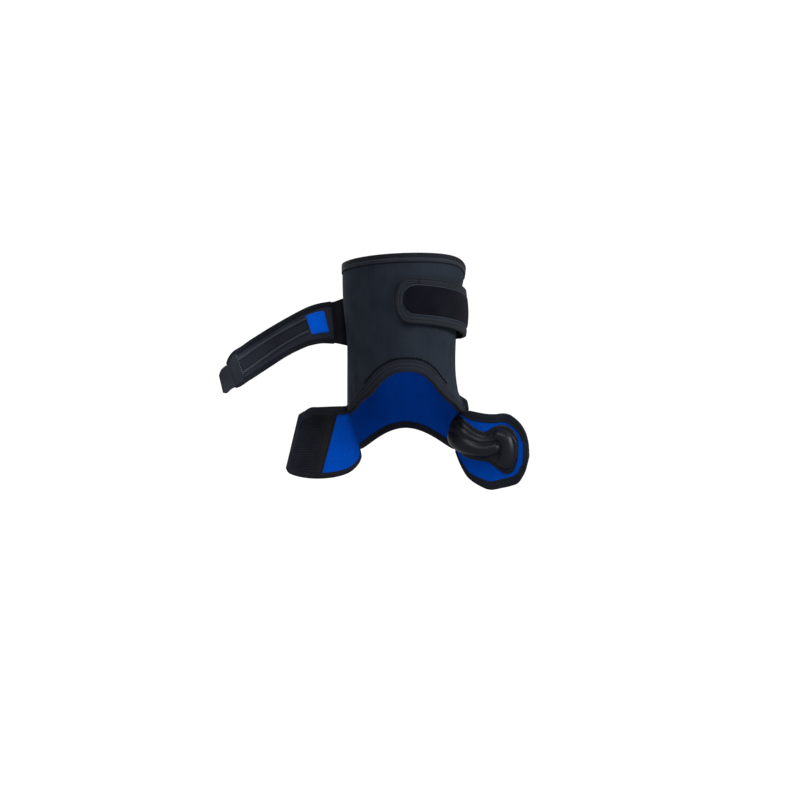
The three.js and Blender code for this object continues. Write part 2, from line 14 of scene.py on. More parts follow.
import bpy
import numpy as np
from numpy.typing import NDArray
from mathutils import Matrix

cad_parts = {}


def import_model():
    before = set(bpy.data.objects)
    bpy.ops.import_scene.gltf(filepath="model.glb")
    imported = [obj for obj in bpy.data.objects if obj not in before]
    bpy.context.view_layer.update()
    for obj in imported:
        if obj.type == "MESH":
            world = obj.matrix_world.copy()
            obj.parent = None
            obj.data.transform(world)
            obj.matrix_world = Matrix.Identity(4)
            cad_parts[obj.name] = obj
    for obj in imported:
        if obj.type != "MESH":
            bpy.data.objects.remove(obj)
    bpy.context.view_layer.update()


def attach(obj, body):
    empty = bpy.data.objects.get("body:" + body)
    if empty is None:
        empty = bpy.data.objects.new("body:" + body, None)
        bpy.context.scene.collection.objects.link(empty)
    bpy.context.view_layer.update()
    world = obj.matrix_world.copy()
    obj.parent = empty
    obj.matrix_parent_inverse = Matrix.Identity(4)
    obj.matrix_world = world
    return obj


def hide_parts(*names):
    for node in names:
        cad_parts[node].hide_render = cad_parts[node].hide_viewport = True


Array = NDArray[np.float64]
Surface = Callable[[Array, Array], Array]
Ground = Callable[[Array, Array], tuple[Array, Array]]

LOG = logging.getLogger("brace")
METRES = 0.001
SHARP_ANGLE = math.radians(50.0)
UV_NAME = "cloth"

# Painted shade: the share stored at each point, and the near-black colour that it mixes in
PAINTED_SHADE_NAME = "painted_shade"
PAINTED_SHADE_COLOUR = (3, 3, 4)

# Rows over which a tape's corners are smoothed, and where along a sheet its normals stop turning
CORNER_STEPS = 2
CALM_END = 0.9

# Layers of the sewn wall, from the leg outwards
LINING = 1.0
WALL = 4.0
TAPE = 0.9
STRAP = 2.2

# How far stitches sink into a tape, and how far a seam stands above the wall
STITCH_DIP = 0.3
SEAM_LIFT = 0.4

# Pieces laid on the free arm that are no wider than this are listed with its trim. The
# narrowest piece that counts as a sheet of its own
NARROW = 11.0
BACKWARDS = np.array([0.0, 1.0, 0.0])


class CuffSection(NamedTuple):
    """Inside face of the cuff at a height."""

    z: float
    mid_x: float
    half_width: float
    mid_y: float
    half_depth: float


class WingSection(NamedTuple):
    """Top and low edge of a sheet at one place along it."""

    top_x: float
    top_y: float
    top_z: float
    low_x: float
    low_y: float
    low_z: float


class FlatSection(NamedTuple):
    """Top and low edge of a laid shape as seen from the front."""

    top_x: float
    top_z: float
    low_x: float
    low_z: float


class StrapStation(NamedTuple):
    """Course of the thigh strap at an angle round the leg."""

    angle: float
    mid_z: float
    slack: float
    lean: float


class Lobe(NamedTuple):
    """A point of a raised lobe as seen from the front."""

    x: float
    z: float
    radius: float
    height: float


class Bump(NamedTuple):
    """A smooth bump over angles round the leg."""

    height: float
    angle: float
    spread: float

    def at(self, angle: Array) -> Array:
        """Heights of the bump.

        Args:
            angle: Angles round the leg.

        Returns:
            The heights.
        """
        return self.height * bell(angle, self.angle, self.spread)


class Fold(NamedTuple):
    """Soft waves in the cuff's cloth: their height, their turns by angle and height, and where they lie."""

    height: float
    by_angle: float
    by_z: float
    angle: float
    angle_spread: float
    z: float
    z_spread: float

    def at(self, angle: Array, z: Array) -> Array:
        """How far the cloth stands out.

        Args:
            angle: Angles round the leg.
            z: Heights.

        Returns:
            Distances out.
        """
        wave = self.height * np.sin(self.by_angle * angle + self.by_z * z)
        return wave * bell(angle, self.angle, self.angle_spread) * bell(z, self.z, self.z_spread)


class Shade(NamedTuple):
    """How much painted shade a tape gets, and the two heights between which it changes."""

    share: float
    low: float
    high: float


class Way(Enum):
    """Patterns that a cloth finish can have."""

    KNIT = "knit"
    RIBS = "ribs"
    HOOKS = "hooks"
    PILE = "pile"
    GRAIN = "grain"


CUFF_SECTIONS = (
    CuffSection(-75, 5, 56, 3, 58),
    CuffSection(-45, 3, 58, 2, 60),
    CuffSection(-10, 0.4, 61, 1, 62),
    CuffSection(2, -0.7, 60, 1, 62),
    CuffSection(28, -2.8, 58, 1, 62),
    CuffSection(66, -3, 58, 1, 63),
    CuffSection(114, -3, 62.6, 2, 65),
    CuffSection(147, -0.4, 66, 4, 67),
    CuffSection(175, 0.5, 66.4, 5, 68),
)
LEFT_WING = (
    WingSection(-60.6, 0.5, -15, -48.8, 19.5, -57),
    WingSection(-64.6, -5, -7.8, -49.4, 13, -66),
    WingSection(-69, -10, -8.3, -53, 8, -74),
    WingSection(-77, -12, -8.5, -62, 3, -82.2),
    WingSection(-87, -13, -8.7, -76, -3, -86.9),
    WingSection(-97, -14, -9, -92, -9, -88.7),
    WingSection(-104.8, -15, -9.3, -106.4, -14, -88.2),
    WingSection(-111.8, -17, -13.6, -118.8, -18, -86),
    WingSection(-116.6, -19, -16.8, -128.4, -22, -82.2),
    WingSection(-117.9, -19.5, -19.8, -131.8, -23, -77),
)
RIGHT_WING = (
    WingSection(63.5, 0.5, -15, 57.2, 19.5, -57),
    WingSection(67, -6, -13.4, 62, 13, -67),
    WingSection(73, -10.5, -13.4, 67.4, 6, -79),
    WingSection(83, -12, -15.2, 74, 0, -89),
    WingSection(93, -13, -16.7, 85, -6, -96.6),
    WingSection(103, -14, -16.9, 97, -11, -101),
    WingSection(113, -15, -16, 110, -15, -98.8),
    WingSection(121, -17, -18.6, 120.5, -18, -96.2),
    WingSection(129.6, -19, -26, 128.2, -21, -92.4),
    WingSection(136, -21, -36.6, 134, -22, -83.6),
    WingSection(139, -21.7, -46.5, 137.6, -22.6, -71.6),
    WingSection(140, -22, -56, 139.6, -22.5, -63),
)
HOOK_PANEL = (
    FlatSection(-74.7, -13.6, -92.8, -83.6),
    FlatSection(-89, -14, -102, -83.6),
    FlatSection(-101.4, -15, -112.2, -82.6),
    FlatSection(-110.6, -17, -122.4, -81.4),
    FlatSection(-117.6, -19.6, -131, -78),
)
BUTTRESS = (
    FlatSection(50.5, -14.6, 60.5, -52),
    FlatSection(63, -17.4, 65.5, -61.5),
    FlatSection(72, -25, 72, -66.3),
    FlatSection(83, -33, 83, -68.9),
    FlatSection(92, -35.6, 93.5, -70.2),
    FlatSection(100.5, -30.8, 100, -74),
    FlatSection(107, -28.2, 106.8, -79.2),
    FlatSection(114.6, -28.4, 115, -83.8),
    FlatSection(121.8, -32.6, 122, -82),
    FlatSection(126.8, -40.6, 126.4, -73),
    FlatSection(129, -49, 129, -60),
)
STRAP_COURSE = (
    StrapStation(-10, 110.6, 1.8, 1),
    StrapStation(30, 108.2, 1.8, 0.8),
    StrapStation(60, 104.2, 2.2, 0.3),
    StrapStation(90, 98.5, 2.8, 0),
    StrapStation(130, 95, 2, 0),
    StrapStation(180, 93, 0.8, 0),
    StrapStation(212, 91, 0.8, 0),
)
FREE_ARM = (
    WingSection(-84.4, 32, 113.6, -80.4, 32, 66),
    WingSection(-98.6, 27, 110.8, -94.2, 28, 66.4),
    WingSection(-111.8, 24, 106.2, -105.4, 25, 64.4),
    WingSection(-130, 20, 96.6, -115.5, 22, 61),
    WingSection(-152.4, 16, 83.4, -134.5, 18, 51.4),
    WingSection(-174.8, 12, 69, -156, 14, 37.3),
    WingSection(-186, 9, 60.8, -168.4, 11, 29),
    WingSection(-194.4, 7, 55.4, -178.8, 9, 22.2),
    WingSection(-199.6, 6, 49, -186.6, 8, 16.8),
    WingSection(-202.4, 5.5, 42.4, -191.8, 7, 14.4),
)
PULL_TAB = (
    WingSection(-200.6, 5.2, 41.4, -190.8, 6.8, 15.6),
    WingSection(-205.4, 3.6, 38, -197.2, 5, 12.2),
    WingSection(-209, 2.4, 34.2, -202.2, 3.6, 7.8),
    WingSection(-211.2, 1.8, 28, -206.8, 3, 8.2),
)
# Pieces of the free arm that narrow towards the blue square
RIBBED = ("hook_strip", "upper_rib", "lower_rib")
# First and last share of the blue square along and across the free arm
SQUARE = (0.052, 0.232, 0.185, 0.755)
PAD_TUBE = (
    Lobe(50, -30, 11, 12.5),
    Lobe(58, -40, 10.6, 12),
    Lobe(66, -48, 10.4, 11.2),
    Lobe(76, -53.8, 9.4, 10.6),
    Lobe(86, -56.8, 8.6, 10.2),
    Lobe(96, -56.6, 8.2, 9.8),
    Lobe(103, -54.8, 7.6, 9.2),
)
PAD_ROLL = (
    Lobe(48, -17.6, 4.6, 10.5),
    Lobe(57, -25.6, 4.4, 9.6),
    Lobe(66, -33.6, 4, 7.4),
    Lobe(75, -41.2, 3.8, 6.2),
    Lobe(86, -46.4, 3.6, 5.6),
    Lobe(96, -46.6, 3.4, 5.2),
    Lobe(102, -44.6, 3.2, 5),
)
PAD_ROOT = (
    Lobe(60, -14.5, 6, 7.6),
    Lobe(57, -22, 8, 7.6),
    Lobe(56, -32, 10, 7.6),
)
PAD_HEAD = (
    Lobe(106.6, -40.2, 6.4, 6.4),
    Lobe(113.6, -44.6, 8, 7.8),
    Lobe(116.6, -54, 8.4, 8.4),
    Lobe(116, -64, 8.8, 8),
    Lobe(112.4, -73, 8.4, 6.6),
)


# Folds of the cuff's cloth, the first two at its sides
SIDE_FOLDS = (
    Fold(0.7, 0.42, -0.042, 62, 24, 35, 38),
    Fold(0.5, 0.33, 0.05, -66, 20, 5, 30),
)
BACK_FOLD = Fold(0.9, 0.02, 0.16, 180, 46, -8, 26)

# The pucker above the right hinge, with its middle height, half height and flatness, and the painted shade
# in its crease
PUCKER = Bump(9.5, 97, 9)
PUCKER_Z = -6.0
PUCKER_REACH = 9.5
PUCKER_POWER = 6
CREASE_SHADE = Bump(0.85, 91, 5)
CREASE_RISE = (1.0, 5.0)

# Rises and dips of the cuff's edges, and the bow of the strap where it turns round the leg
ARCH_FLARES = (
    Bump(8.6, -49, 15),
    Bump(5.2, 62, 12),
    Bump(-1.4, -14, 10),
)
TOP_DIP = Bump(10.5, 98, 30)
STRAP_BOW = Bump(2.4, 92, 26)

# Painted shade on the tapes, the first by height below the top edge
TOP_SHADE = Shade(0.55, -5.0, -3.6)
ARCH_SHADE = Shade(0.45, -6.0, 18.0)
WING_FADE = (-90.0, -72.0)


def unit(vectors: Array) -> Array:
    """Scales vectors to length one.

    Args:
        vectors: Any array whose last axis is x, y, z.

    Returns:
        The same directions with length one.
    """
    return vectors / np.maximum(np.linalg.norm(vectors, axis=-1, keepdims=True), 1e-12)


def ease(low: float, high: float, at: Array) -> Array:
    """A smooth step that is 0 below low and 1 above high.

    Args:
        low: Where the step starts.
        high: Where it ends.
        at: The places asked for.

    Returns:
        The step at those places.
    """
    share = np.clip((at - low) / (high - low), 0.0, 1.0)
    return share * share * (3.0 - 2.0 * share)


def bell(at: Array, middle: float, spread: float) -> Array:
    """A bump of height one round a middle.

    Args:
        at: The places asked for.
        middle: Where the bump is highest.
        spread: How wide it is.

    Returns:
        The bump at those places.
    """
    return np.exp(-(((at - middle) / spread) ** 2))


def wrapped(angle: Array) -> Array:
    """Brings angles round the leg between -180 and 180 degrees.

    Args:
        angle: Any angles.

    Returns:
        The same directions.
    """
    return (np.asarray(angle, float) + 180) % 360 - 180


def path_length(path: Array) -> float:
    """Length of a path.

    Args:
        path: Points in order.

    Returns:
        The length.
    """
    return float(np.linalg.norm(np.diff(path, axis=0), axis=-1).sum())


def table_curve(rows: Sequence[tuple[float, ...]]) -> Callable[[Array], Array]:
    """Reads a table as smooth curves over its first column, by cubic pieces through its rows.

    Args:
        rows: The table, in rising order of the first column.

    Returns:
        A function from places along the first column to the other columns.
    """
    data = np.array(rows, float)
    keys, values = data[:, 0], data[:, 1:]
    slopes = np.gradient(values, keys, axis=0)

    def read(at: Array) -> Array:
        place = np.clip(np.asarray(at, float), keys[0], keys[-1])
        i = np.clip(np.searchsorted(keys, place, side="right") - 1, 0, len(keys) - 2)
        width = (keys[i + 1] - keys[i])[..., None]
        t = (place - keys[i])[..., None] / width
        near = (1 + 2 * t) * (1 - t) ** 2 * values[i] + t * (1 - t) ** 2 * width * slopes[i]
        far = t * t * (3 - 2 * t) * values[i + 1] + t * t * (t - 1) * width * slopes[i + 1]
        return near + far

    return read


def smooth_edge(points: Array) -> Callable[[Array], Array]:
    """A curve through points with evenly spaced parameter, by uniform Catmull-Rom pieces.

    Args:
        points: The points in order.

    Returns:
        A function from shares 0 to 1 to points.
    """
    first, last = 2 * points[0] - points[1], 2 * points[-1] - points[-2]
    padded = np.vstack([first, points, last])

    def read(share: Array) -> Array:
        place = np.clip(np.asarray(share, float), 0.0, 1.0) * (len(points) - 1)
        i = np.minimum(place.astype(int), len(points) - 2)
        t = (place - i)[..., None]
        a, b, c, d = (padded[i + k] for k in range(4))
        cubic = (3 * b - a - 3 * c + d) * t + (2 * a - 5 * b + 4 * c - d)
        return 0.5 * ((cubic * t + (c - a)) * t + 2 * b)

    return read


def ruled(rows: Sequence[tuple[float, ...]]) -> Surface:
    """The ruled surface between the top and low edges of a table of sections.

    Args:
        rows: Sections with three or two coordinates for each edge.

    Returns:
        A function of u along the table and v from the top edge to the low edge.
    """
    data = np.array(rows, float)
    if data.shape[1] == len(FlatSection._fields):
        data = np.insert(data, [1, 3], 0.0, axis=1)
    top, low = smooth_edge(data[:, :3]), smooth_edge(data[:, 3:])

    def read(u: Array, v: Array) -> Array:
        share = np.asarray(v, float)[..., None]
        return top(u) * (1 - share) + low(u) * share

    return read


def slopes_of(surface: Surface, u: Array, v: Array, step: float = 1e-3) -> tuple[Array, Array]:
    """The two tangents of a surface by central differences.

    Args:
        surface: The surface.
        u: Places along it.
        v: Places across it.
        step: Half the span of the difference.

    Returns:
        The tangents along u and along v.
    """
    along = (surface(u + step, v) - surface(u - step, v)) / (2 * step)
    across = (surface(u, v + step) - surface(u, v - step)) / (2 * step)
    return along, across


def normals_of(surface: Surface, u: Array, v: Array, outward: Array) -> Array:
    """Unit normals of a surface on the side of a given direction.

    Args:
        surface: The surface.
        u: Places along it.
        v: Places across it.
        outward: A direction, or one for each place, on the side that counts as out.

    Returns:
        The unit normals.
    """
    along, across = slopes_of(surface, u, v)
    normal = unit(np.cross(along, across))
    side = np.sign((normal * outward).sum(-1, keepdims=True))
    return normal * np.where(side == 0, 1.0, side)


def calm_normals(surface: Surface, u: Array, v: Array, outward: Array) -> Array:
    """Unit normals of a sheet, with those near its end taken from a little before the end.

    The edges of a sheet run nearly together at its end, so the normals there would tilt.

    Args:
        surface: The sheet.
        u: Places along it.
        v: Places across it.
        outward: A direction on the side that counts as out.

    Returns:
        The unit normals.
    """
    return normals_of(surface, np.minimum(u, CALM_END), v, outward)


def locate(surface: Surface, x: Array, z: Array, rounds: int = 14) -> tuple[Array, Array]:
    """Finds the places of a surface that are seen at given points from the front, by Newton steps.

    Args:
        surface: The surface.
        x: Seen places across.
        z: Seen heights.
        rounds: How many steps are taken.

    Returns:
        The u and v of each place.
    """
    edge = 0.004
    u, v = np.full(np.shape(x), 0.5), np.full(np.shape(x), 0.5)
    for _ in range(rounds):
        here = surface(u, v)
        along, across = slopes_of(surface, u, v, step=1e-4)
        det = along[..., 0] * across[..., 2] - across[..., 0] * along[..., 2]
        off_x, off_z = x - here[..., 0], z - here[..., 2]
        u = np.clip(u + (off_x * across[..., 2] - off_z * across[..., 0]) / det, edge, 1 - edge)
        v = np.clip(v + (off_z * along[..., 0] - off_x * along[..., 2]) / det, edge, 1 - edge)
    return u, v


def laid_on(surface: Surface, rows: Sequence[FlatSection], outward: Array) -> Ground:
    """A shape drawn from the front and laid on the front of a surface.

    Args:
        surface: What it lies on.
        rows: The shape's edges as seen from the front.
        outward: Direction on the back of the surface.

    Returns:
        A function from shares along and across the shape to points of the surface and its front normals.
    """
    seen = ruled(rows)

    def read(u: Array, v: Array) -> tuple[Array, Array]:
        spot = seen(u, v)
        at = locate(surface, spot[..., 0], spot[..., 2])
        return surface(*at), -normals_of(surface, *at, outward)

    return read


def mesh_grid(count_u: int, count_v: int) -> tuple[Array, Array]:
    """Even places over a surface.

    Args:
        count_u: Places along.
        count_v: Places across.

    Returns:
        Arrays of u and of v.
    """
    return np.meshgrid(np.linspace(0, 1, count_u), np.linspace(0, 1, count_v), indexing="ij")


def grid_faces(count_u: int, count_v: int, closed: bool = False, first: int = 0) -> NDArray[np.int64]:
    """Corner numbers of a grid's four-sided faces.

    Args:
        count_u: Rows of the grid.
        count_v: Points in a row.
        closed: Whether the last row joins the first.
        first: The number of the grid's first point.

    Returns:
        One row of four numbers for each face.
    """
    i, j = np.meshgrid(np.arange(count_u if closed else count_u - 1), np.arange(count_v - 1), indexing="ij")
    here, after = i * count_v + j, (i + 1) % count_u * count_v + j
    return first + np.stack([here, after, after + 1, here + 1], axis=-1).reshape(-1, 4)


def arc_uv(grid: Array) -> Array:
    """Lengths along and across a grid in metres, so that a weave has its real scale.

    Args:
        grid: Points of the grid.

    Returns:
        Two lengths for each point.
    """
    along = np.linalg.norm(np.diff(grid, axis=0), axis=-1).mean(axis=1)
    across = np.linalg.norm(np.diff(grid, axis=1), axis=-1).mean(axis=0)
    u = np.concatenate([[0.0], np.cumsum(along)]) * METRES
    v = np.concatenate([[0.0], np.cumsum(across)]) * METRES
    return np.stack(np.meshgrid(u, v, indexing="ij"), axis=-1)


def new_object(
    name: str, points: Array, faces: NDArray[np.int64], uv: Array, closed: bool = False
) -> bpy.types.Object:
    """Makes a mesh object at the origin from points in millimetres.

    Args:
        name: The object's name.
        points: Its points.
        faces: Corner numbers of its faces.
        uv: Two lengths for each point.
        closed: Whether it closes round on itself along u.

    Returns:
        The new object, smooth but for its sharp edges.
    """
    mesh = bpy.data.meshes.new(name)
    mesh.from_pydata((points.reshape(-1, 3) * METRES).tolist(), [], faces.tolist())
    layer = mesh.uv_layers.new(name=UV_NAME)
    corners = np.zeros(len(mesh.loops), np.int32)
    mesh.loops.foreach_get("vertex_index", corners)
    flat = uv.reshape(-1, 2)[corners].reshape(-1, 4, 2)
    if closed:
        girth = uv[..., 0].max() * uv.shape[-3] / (uv.shape[-3] - 1)
        wraps = np.ptp(flat[..., 0], axis=1, keepdims=True) > girth / 2
        flat[..., 0] += girth * (wraps & (flat[..., 0] < girth / 2))
    layer.data.foreach_set("uv", flat.astype(np.float32).ravel())
    mesh.shade_smooth()
    mesh.set_sharp_from_angle(angle=SHARP_ANGLE)
    mesh.update()
    made = bpy.data.objects.new(name, mesh)
    bpy.context.scene.collection.objects.link(made)
    return made


def sheet_object(name: str, grid: Array, closed: bool = False, flip: bool = False) -> bpy.types.Object:
    """An open sheet over a grid of points.

    Args:
        name: The object's name.
        grid: The points.
        closed: Whether it closes round on itself along u.
        flip: Whether its faces are turned over.

    Returns:
        The new object.
    """
    faces = grid_faces(*grid.shape[:2], closed)
    return new_object(name, grid, faces[:, ::-1] if flip else faces, arc_uv(grid), closed)


def wall_object(name: str, near: Array, far: Array, closed: bool = False) -> bpy.types.Object:
    """A closed wall between two grids of the same size: both faces and the rims that join them.

    Args:
        name: The object's name.
        near: Points of the face that is turned inwards.
        far: Points of the face that is turned outwards.
        closed: Whether the wall closes round on itself along u.

    Returns:
        The new object, with its faces turned out.
    """
    rows, columns = near.shape[:2]
    count = rows * columns
    ids = np.arange(count).reshape(rows, columns)
    sides = [(ids[:, 0], 1), (ids[:, -1], -1)]
    if not closed:
        sides += [(ids[0], -1), (ids[-1], 1)]
    parts = [grid_faces(rows, columns, closed)[:, ::-1], grid_faces(rows, columns, closed, count)]
    for edge, turn in sides:
        along = closed and len(edge) == rows and edge[1] - edge[0] == columns
        after = np.roll(edge, -1) if along else edge[1:]
        before = edge if along else edge[:-1]
        rim = np.stack([before, after, after + count, before + count], axis=-1)
        parts.append(rim[:, ::turn])
    uv = np.stack([arc_uv(near), arc_uv(far)])
    made = new_object(name, np.stack([near, far]), np.vstack(parts), uv, closed)
    a = near[rows // 2, columns // 2]
    b = far[rows // 2, columns // 2]
    middle = np.cross(near[rows // 2 + 1, columns // 2] - a, near[rows // 2, columns // 2 + 1] - a)
    if (middle * (b - a)).sum() < 0:
        made.data.flip_normals()
    return made


def tape_profile(wall: float, outer: float, inner: float, dents: Sequence[float] = ()) -> Array:
    """The folded section of edge tape: out from a hem, round the edge and back to the other hem.

    Each point is an inset from the edge and a level from the wall's inside face. The hems dip into the wall,
    and the tape is drawn in a little along each stitched line.

    Args:
        wall: Thickness of the wall that it closes on.
        outer: Width on the outside.
        inner: Width on the inside.
        dents: Insets of stitched lines.

    Returns:
        The points in order.
    """
    dent_depth, dent_spread, fold_reach, sunk = 0.45, 0.9, 1.0, 0.35
    hem_round, hem_thin, hem_past = 0.8, 0.35, 0.15
    run = np.linspace(0.0, 1.0, 15)
    turn = np.linspace(0.0, math.pi, 11)[1:-1]
    middle, half = wall / 2, wall / 2 + TAPE
    fold = np.stack([-fold_reach * np.sin(turn), middle + half * np.cos(turn)], axis=-1)
    sides = []
    for reach, face, way in ((outer, wall, 1.0), (inner, 0.0, -1.0)):
        inset = reach * (1 - run)
        drawn = sum((bell(inset, dent, dent_spread) for dent in dents), np.zeros_like(inset))
        rounded = ease(reach, reach - hem_round, inset)
        level = face + way * (TAPE * (hem_thin + (1 - hem_thin) * rounded) - dent_depth * drawn)
        hem = np.array([[reach + hem_past, face - way * sunk]])
        sides.append(np.vstack([hem, np.stack([inset, level], axis=-1)]))
    return np.vstack([sides[0], fold, sides[1][::-1]])


def resampled(path: Array, step: float) -> tuple[Array, Array]:
    """Places at even distances along a path.

    Args:
        path: Points in order.
        step: The distance wanted between places.

    Returns:
        The fractional numbers of the places among the points, and their distances along the path.
    """
    along = np.concatenate([[0.0], np.cumsum(np.linalg.norm(np.diff(path, axis=0), axis=-1))])
    at = np.linspace(0.0, along[-1], max(2, round(along[-1] / step) + 1))
    return np.interp(at, along, np.arange(len(path))), at


def pick(values: Array, places: Array) -> Array:
    """Reads an array between its rows.

    Args:
        values: The rows.
        places: Fractional row numbers.

    Returns:
        The rows at those places.
    """
    i = np.minimum(places.astype(int), len(values) - 2)
    share = (places - i)[..., None]
    return values[i] * (1 - share) + values[i + 1] * share


@dataclass(frozen=True)
class Thread:
    """A row of stitches: short rounded lengths of thread that dip in at both ends.

    Attributes:
        pitch: Distance from one stitch to the next.
        share: Share of the pitch that the thread covers.
        radius: Radius of the thread.
        lift: How far its middle stands above the cloth.
        swing: Sideways travel of each stitch, which makes a zigzag.
    """

    pitch: float = 3.0
    share: float = 0.78
    radius: float = 0.34
    lift: float = 0.22
    swing: float = 0.0

    def geometry(self, path: Array, normals: Array) -> tuple[Array, NDArray[np.int64]]:
        """Points and faces of the row: rings about a line that follows the path and bows out in each stitch.

        Args:
            path: Points of the stitched line.
            normals: Unit normals of the cloth along it.

        Returns:
            The points and the faces.
        """
        stations, sides = 7, 6
        near, sunk, thinnest = 0.5, 0.5, 0.05
        places, at = resampled(path, self.pitch)
        starts = at[:-1] + self.pitch * (1 - self.share) / 2
        run = np.linspace(0.0, 1.0, stations)
        distance = starts[:, None] + run * self.pitch * self.share
        place = np.interp(distance, at, places)
        centre, up = pick(path, place), unit(pick(normals, place))
        after = np.minimum(place + near, len(path) - 1)
        before = np.maximum(place - near, 0)
        ahead = unit(pick(path, after) - pick(path, before))
        side = unit(np.cross(ahead, up))
        way = np.where(np.arange(len(starts)) % 2, 1.0, -1.0)[:, None]
        sideways = (run[None, :] - 0.5) * way * self.swing
        height = self.lift * np.sin(math.pi * run) - self.radius * sunk
        centre = centre + up * height[:, None] + side * sideways[..., None]
        girth = self.radius * np.sqrt(np.clip(np.sin(math.pi * run), thinnest, 1.0))
        turn = np.linspace(0, 2 * math.pi, sides, endpoint=False)
        ring = np.cos(turn)[:, None] * side[:, :, None] + np.sin(turn)[:, None] * up[:, :, None]
        points = centre[:, :, None] + girth[:, None, None] * ring
        counts = (len(starts), stations - 1, sides)
        i, j, k = np.meshgrid(*(np.arange(count) for count in counts), indexing="ij")
        base = (i * stations + j) * sides
        beside = (k + 1) % sides
        faces = np.stack([base + k, base + beside, base + sides + beside, base + sides + k], axis=-1)
        return points.reshape(-1, 3), faces.reshape(-1, 4)


PLAIN_STITCH = Thread()
TOP_STITCH = Thread(pitch=2.4, share=0.92, radius=0.55)
TOP_SEAM = Thread(pitch=2.8, share=0.9, radius=0.6, lift=0.3)
ARCH_SEAM = Thread(pitch=2.4, share=1.0, radius=0.8, lift=0.4, swing=1.8)
ARM_SEAM = Thread(pitch=2.4, share=1.0, radius=0.6, lift=0.3)
CORD = Thread(pitch=1.6, share=1.1, radius=0.55, lift=0.1)
LAP_STITCH = Thread(pitch=2.0, share=1.0, radius=0.8, lift=0.1)


def thread_object(name: str, rows: Sequence[tuple[Thread, Array, Array]]) -> bpy.types.Object:
    """Several rows of stitches as one object.

    Args:
        name: The object's name.
        rows: The thread, path and normals of each row.

    Returns:
        The new object.
    """
    points, faces, count = [], [], 0
    for thread, path, normals in rows:
        part, corners = thread.geometry(path, normals)
        points.append(part)
        faces.append(corners + count)
        count += len(part)
    every = np.vstack(points)
    return new_object(name, every, np.vstack(faces), every[:, :2] * METRES)


class Graph:
    """A node tree with short calls for adding and joining nodes.

    Attributes:
        tree: The node tree.
    """

    def __init__(self, tree: bpy.types.NodeTree) -> None:
        """Keeps the tree and clears it.

        Args:
            tree: The node tree to fill.
        """
        self.tree = tree
        tree.nodes.clear()

    def add(self, kind: str, **settings: object) -> bpy.types.Node:
        """Adds a node.

        Args:
            kind: The node's type.
            settings: Values of its properties.

        Returns:
            The node.
        """
        node = self.tree.nodes.new(kind)
        for name, value in settings.items():
            setattr(node, name, value)
        return node

    def join(self, source: object, target: bpy.types.NodeSocket) -> None:
        """Joins a socket to an input, or sets the input to a value.

        Args:
            source: An output socket or a plain value.
            target: The input.
        """
        if isinstance(source, bpy.types.NodeSocket):
            self.tree.links.new(source, target)
        else:
            target.default_value = source

    def math(self, operation: str, *values: object) -> bpy.types.NodeSocket:
        """Adds a sum, product or other function of values.

        Args:
            operation: The function's name.
            values: Sockets or numbers.

        Returns:
            The result.
        """
        node = self.add("ShaderNodeMath", operation=operation)
        for value, target in zip(values, node.inputs):
            self.join(value, target)
        return node.outputs[0]

    def mix(self, share: object, low: object, high: object) -> bpy.types.NodeSocket:
        """Adds a mix of two colours.

        Args:
            share: How much of the second colour.
            low: The first colour.
            high: The second colour.

        Returns:
            The mixed colour.
        """
        node = self.add("ShaderNodeMix", data_type="RGBA")
        for value, target in ((share, node.inputs[0]), (low, node.inputs[6]), (high, node.inputs[7])):
            self.join(value, target)
        return node.outputs[2]


def group_of(
    name: str, inputs: Sequence[tuple[str, str]], outputs: Sequence[str]
) -> tuple[Graph, bpy.types.Node, bpy.types.Node]:
    """Starts a shared node group.

    Args:
        name: The group's name.
        inputs: Names and socket types of its inputs.
        outputs: Names of its outputs, which are values.

    Returns:
        Its graph, its input node and its output node.
    """
    tree = bpy.data.node_groups.new(name, "ShaderNodeTree")
    for label, kind in inputs:
        tree.interface.new_socket(label, in_out="INPUT", socket_type=kind)
    for label in outputs:
        tree.interface.new_socket(label, in_out="OUTPUT", socket_type="NodeSocketFloat")
    graph = Graph(tree)
    return graph, graph.add("NodeGroupInput"), graph.add("NodeGroupOutput")


def weave_group() -> None:
    """Makes the weave: crossed waves of two pitches, the second shifted by half a wave from rib to rib.

    The group leads from a vector in metres and two pitches to a height from 0 to 1.
    """
    sockets = [("Vector", "NodeSocketVector"), ("Across", "NodeSocketFloat"), ("Along", "NodeSocketFloat")]
    graph, source, result = group_of("weave", sockets, ["Height"])
    half_wave, bead_depth = 0.5, 0.3
    parts = graph.add("ShaderNodeSeparateXYZ")
    graph.join(source.outputs["Vector"], parts.inputs[0])
    ribs = graph.math("DIVIDE", parts.outputs[0], source.outputs["Across"])
    rows = graph.math("DIVIDE", parts.outputs[1], source.outputs["Along"])
    wave = graph.math("ABSOLUTE", graph.math("SINE", graph.math("MULTIPLY", ribs, math.pi)))
    shift = graph.math("MULTIPLY", graph.math("FLOOR", ribs), half_wave)
    phase = graph.math("MULTIPLY", graph.math("ADD", rows, shift), 2 * math.pi)
    bead = graph.math("MULTIPLY_ADD", graph.math("SINE", phase), bead_depth, 1 - bead_depth)
    graph.join(graph.math("MULTIPLY", wave, bead), result.inputs["Height"])


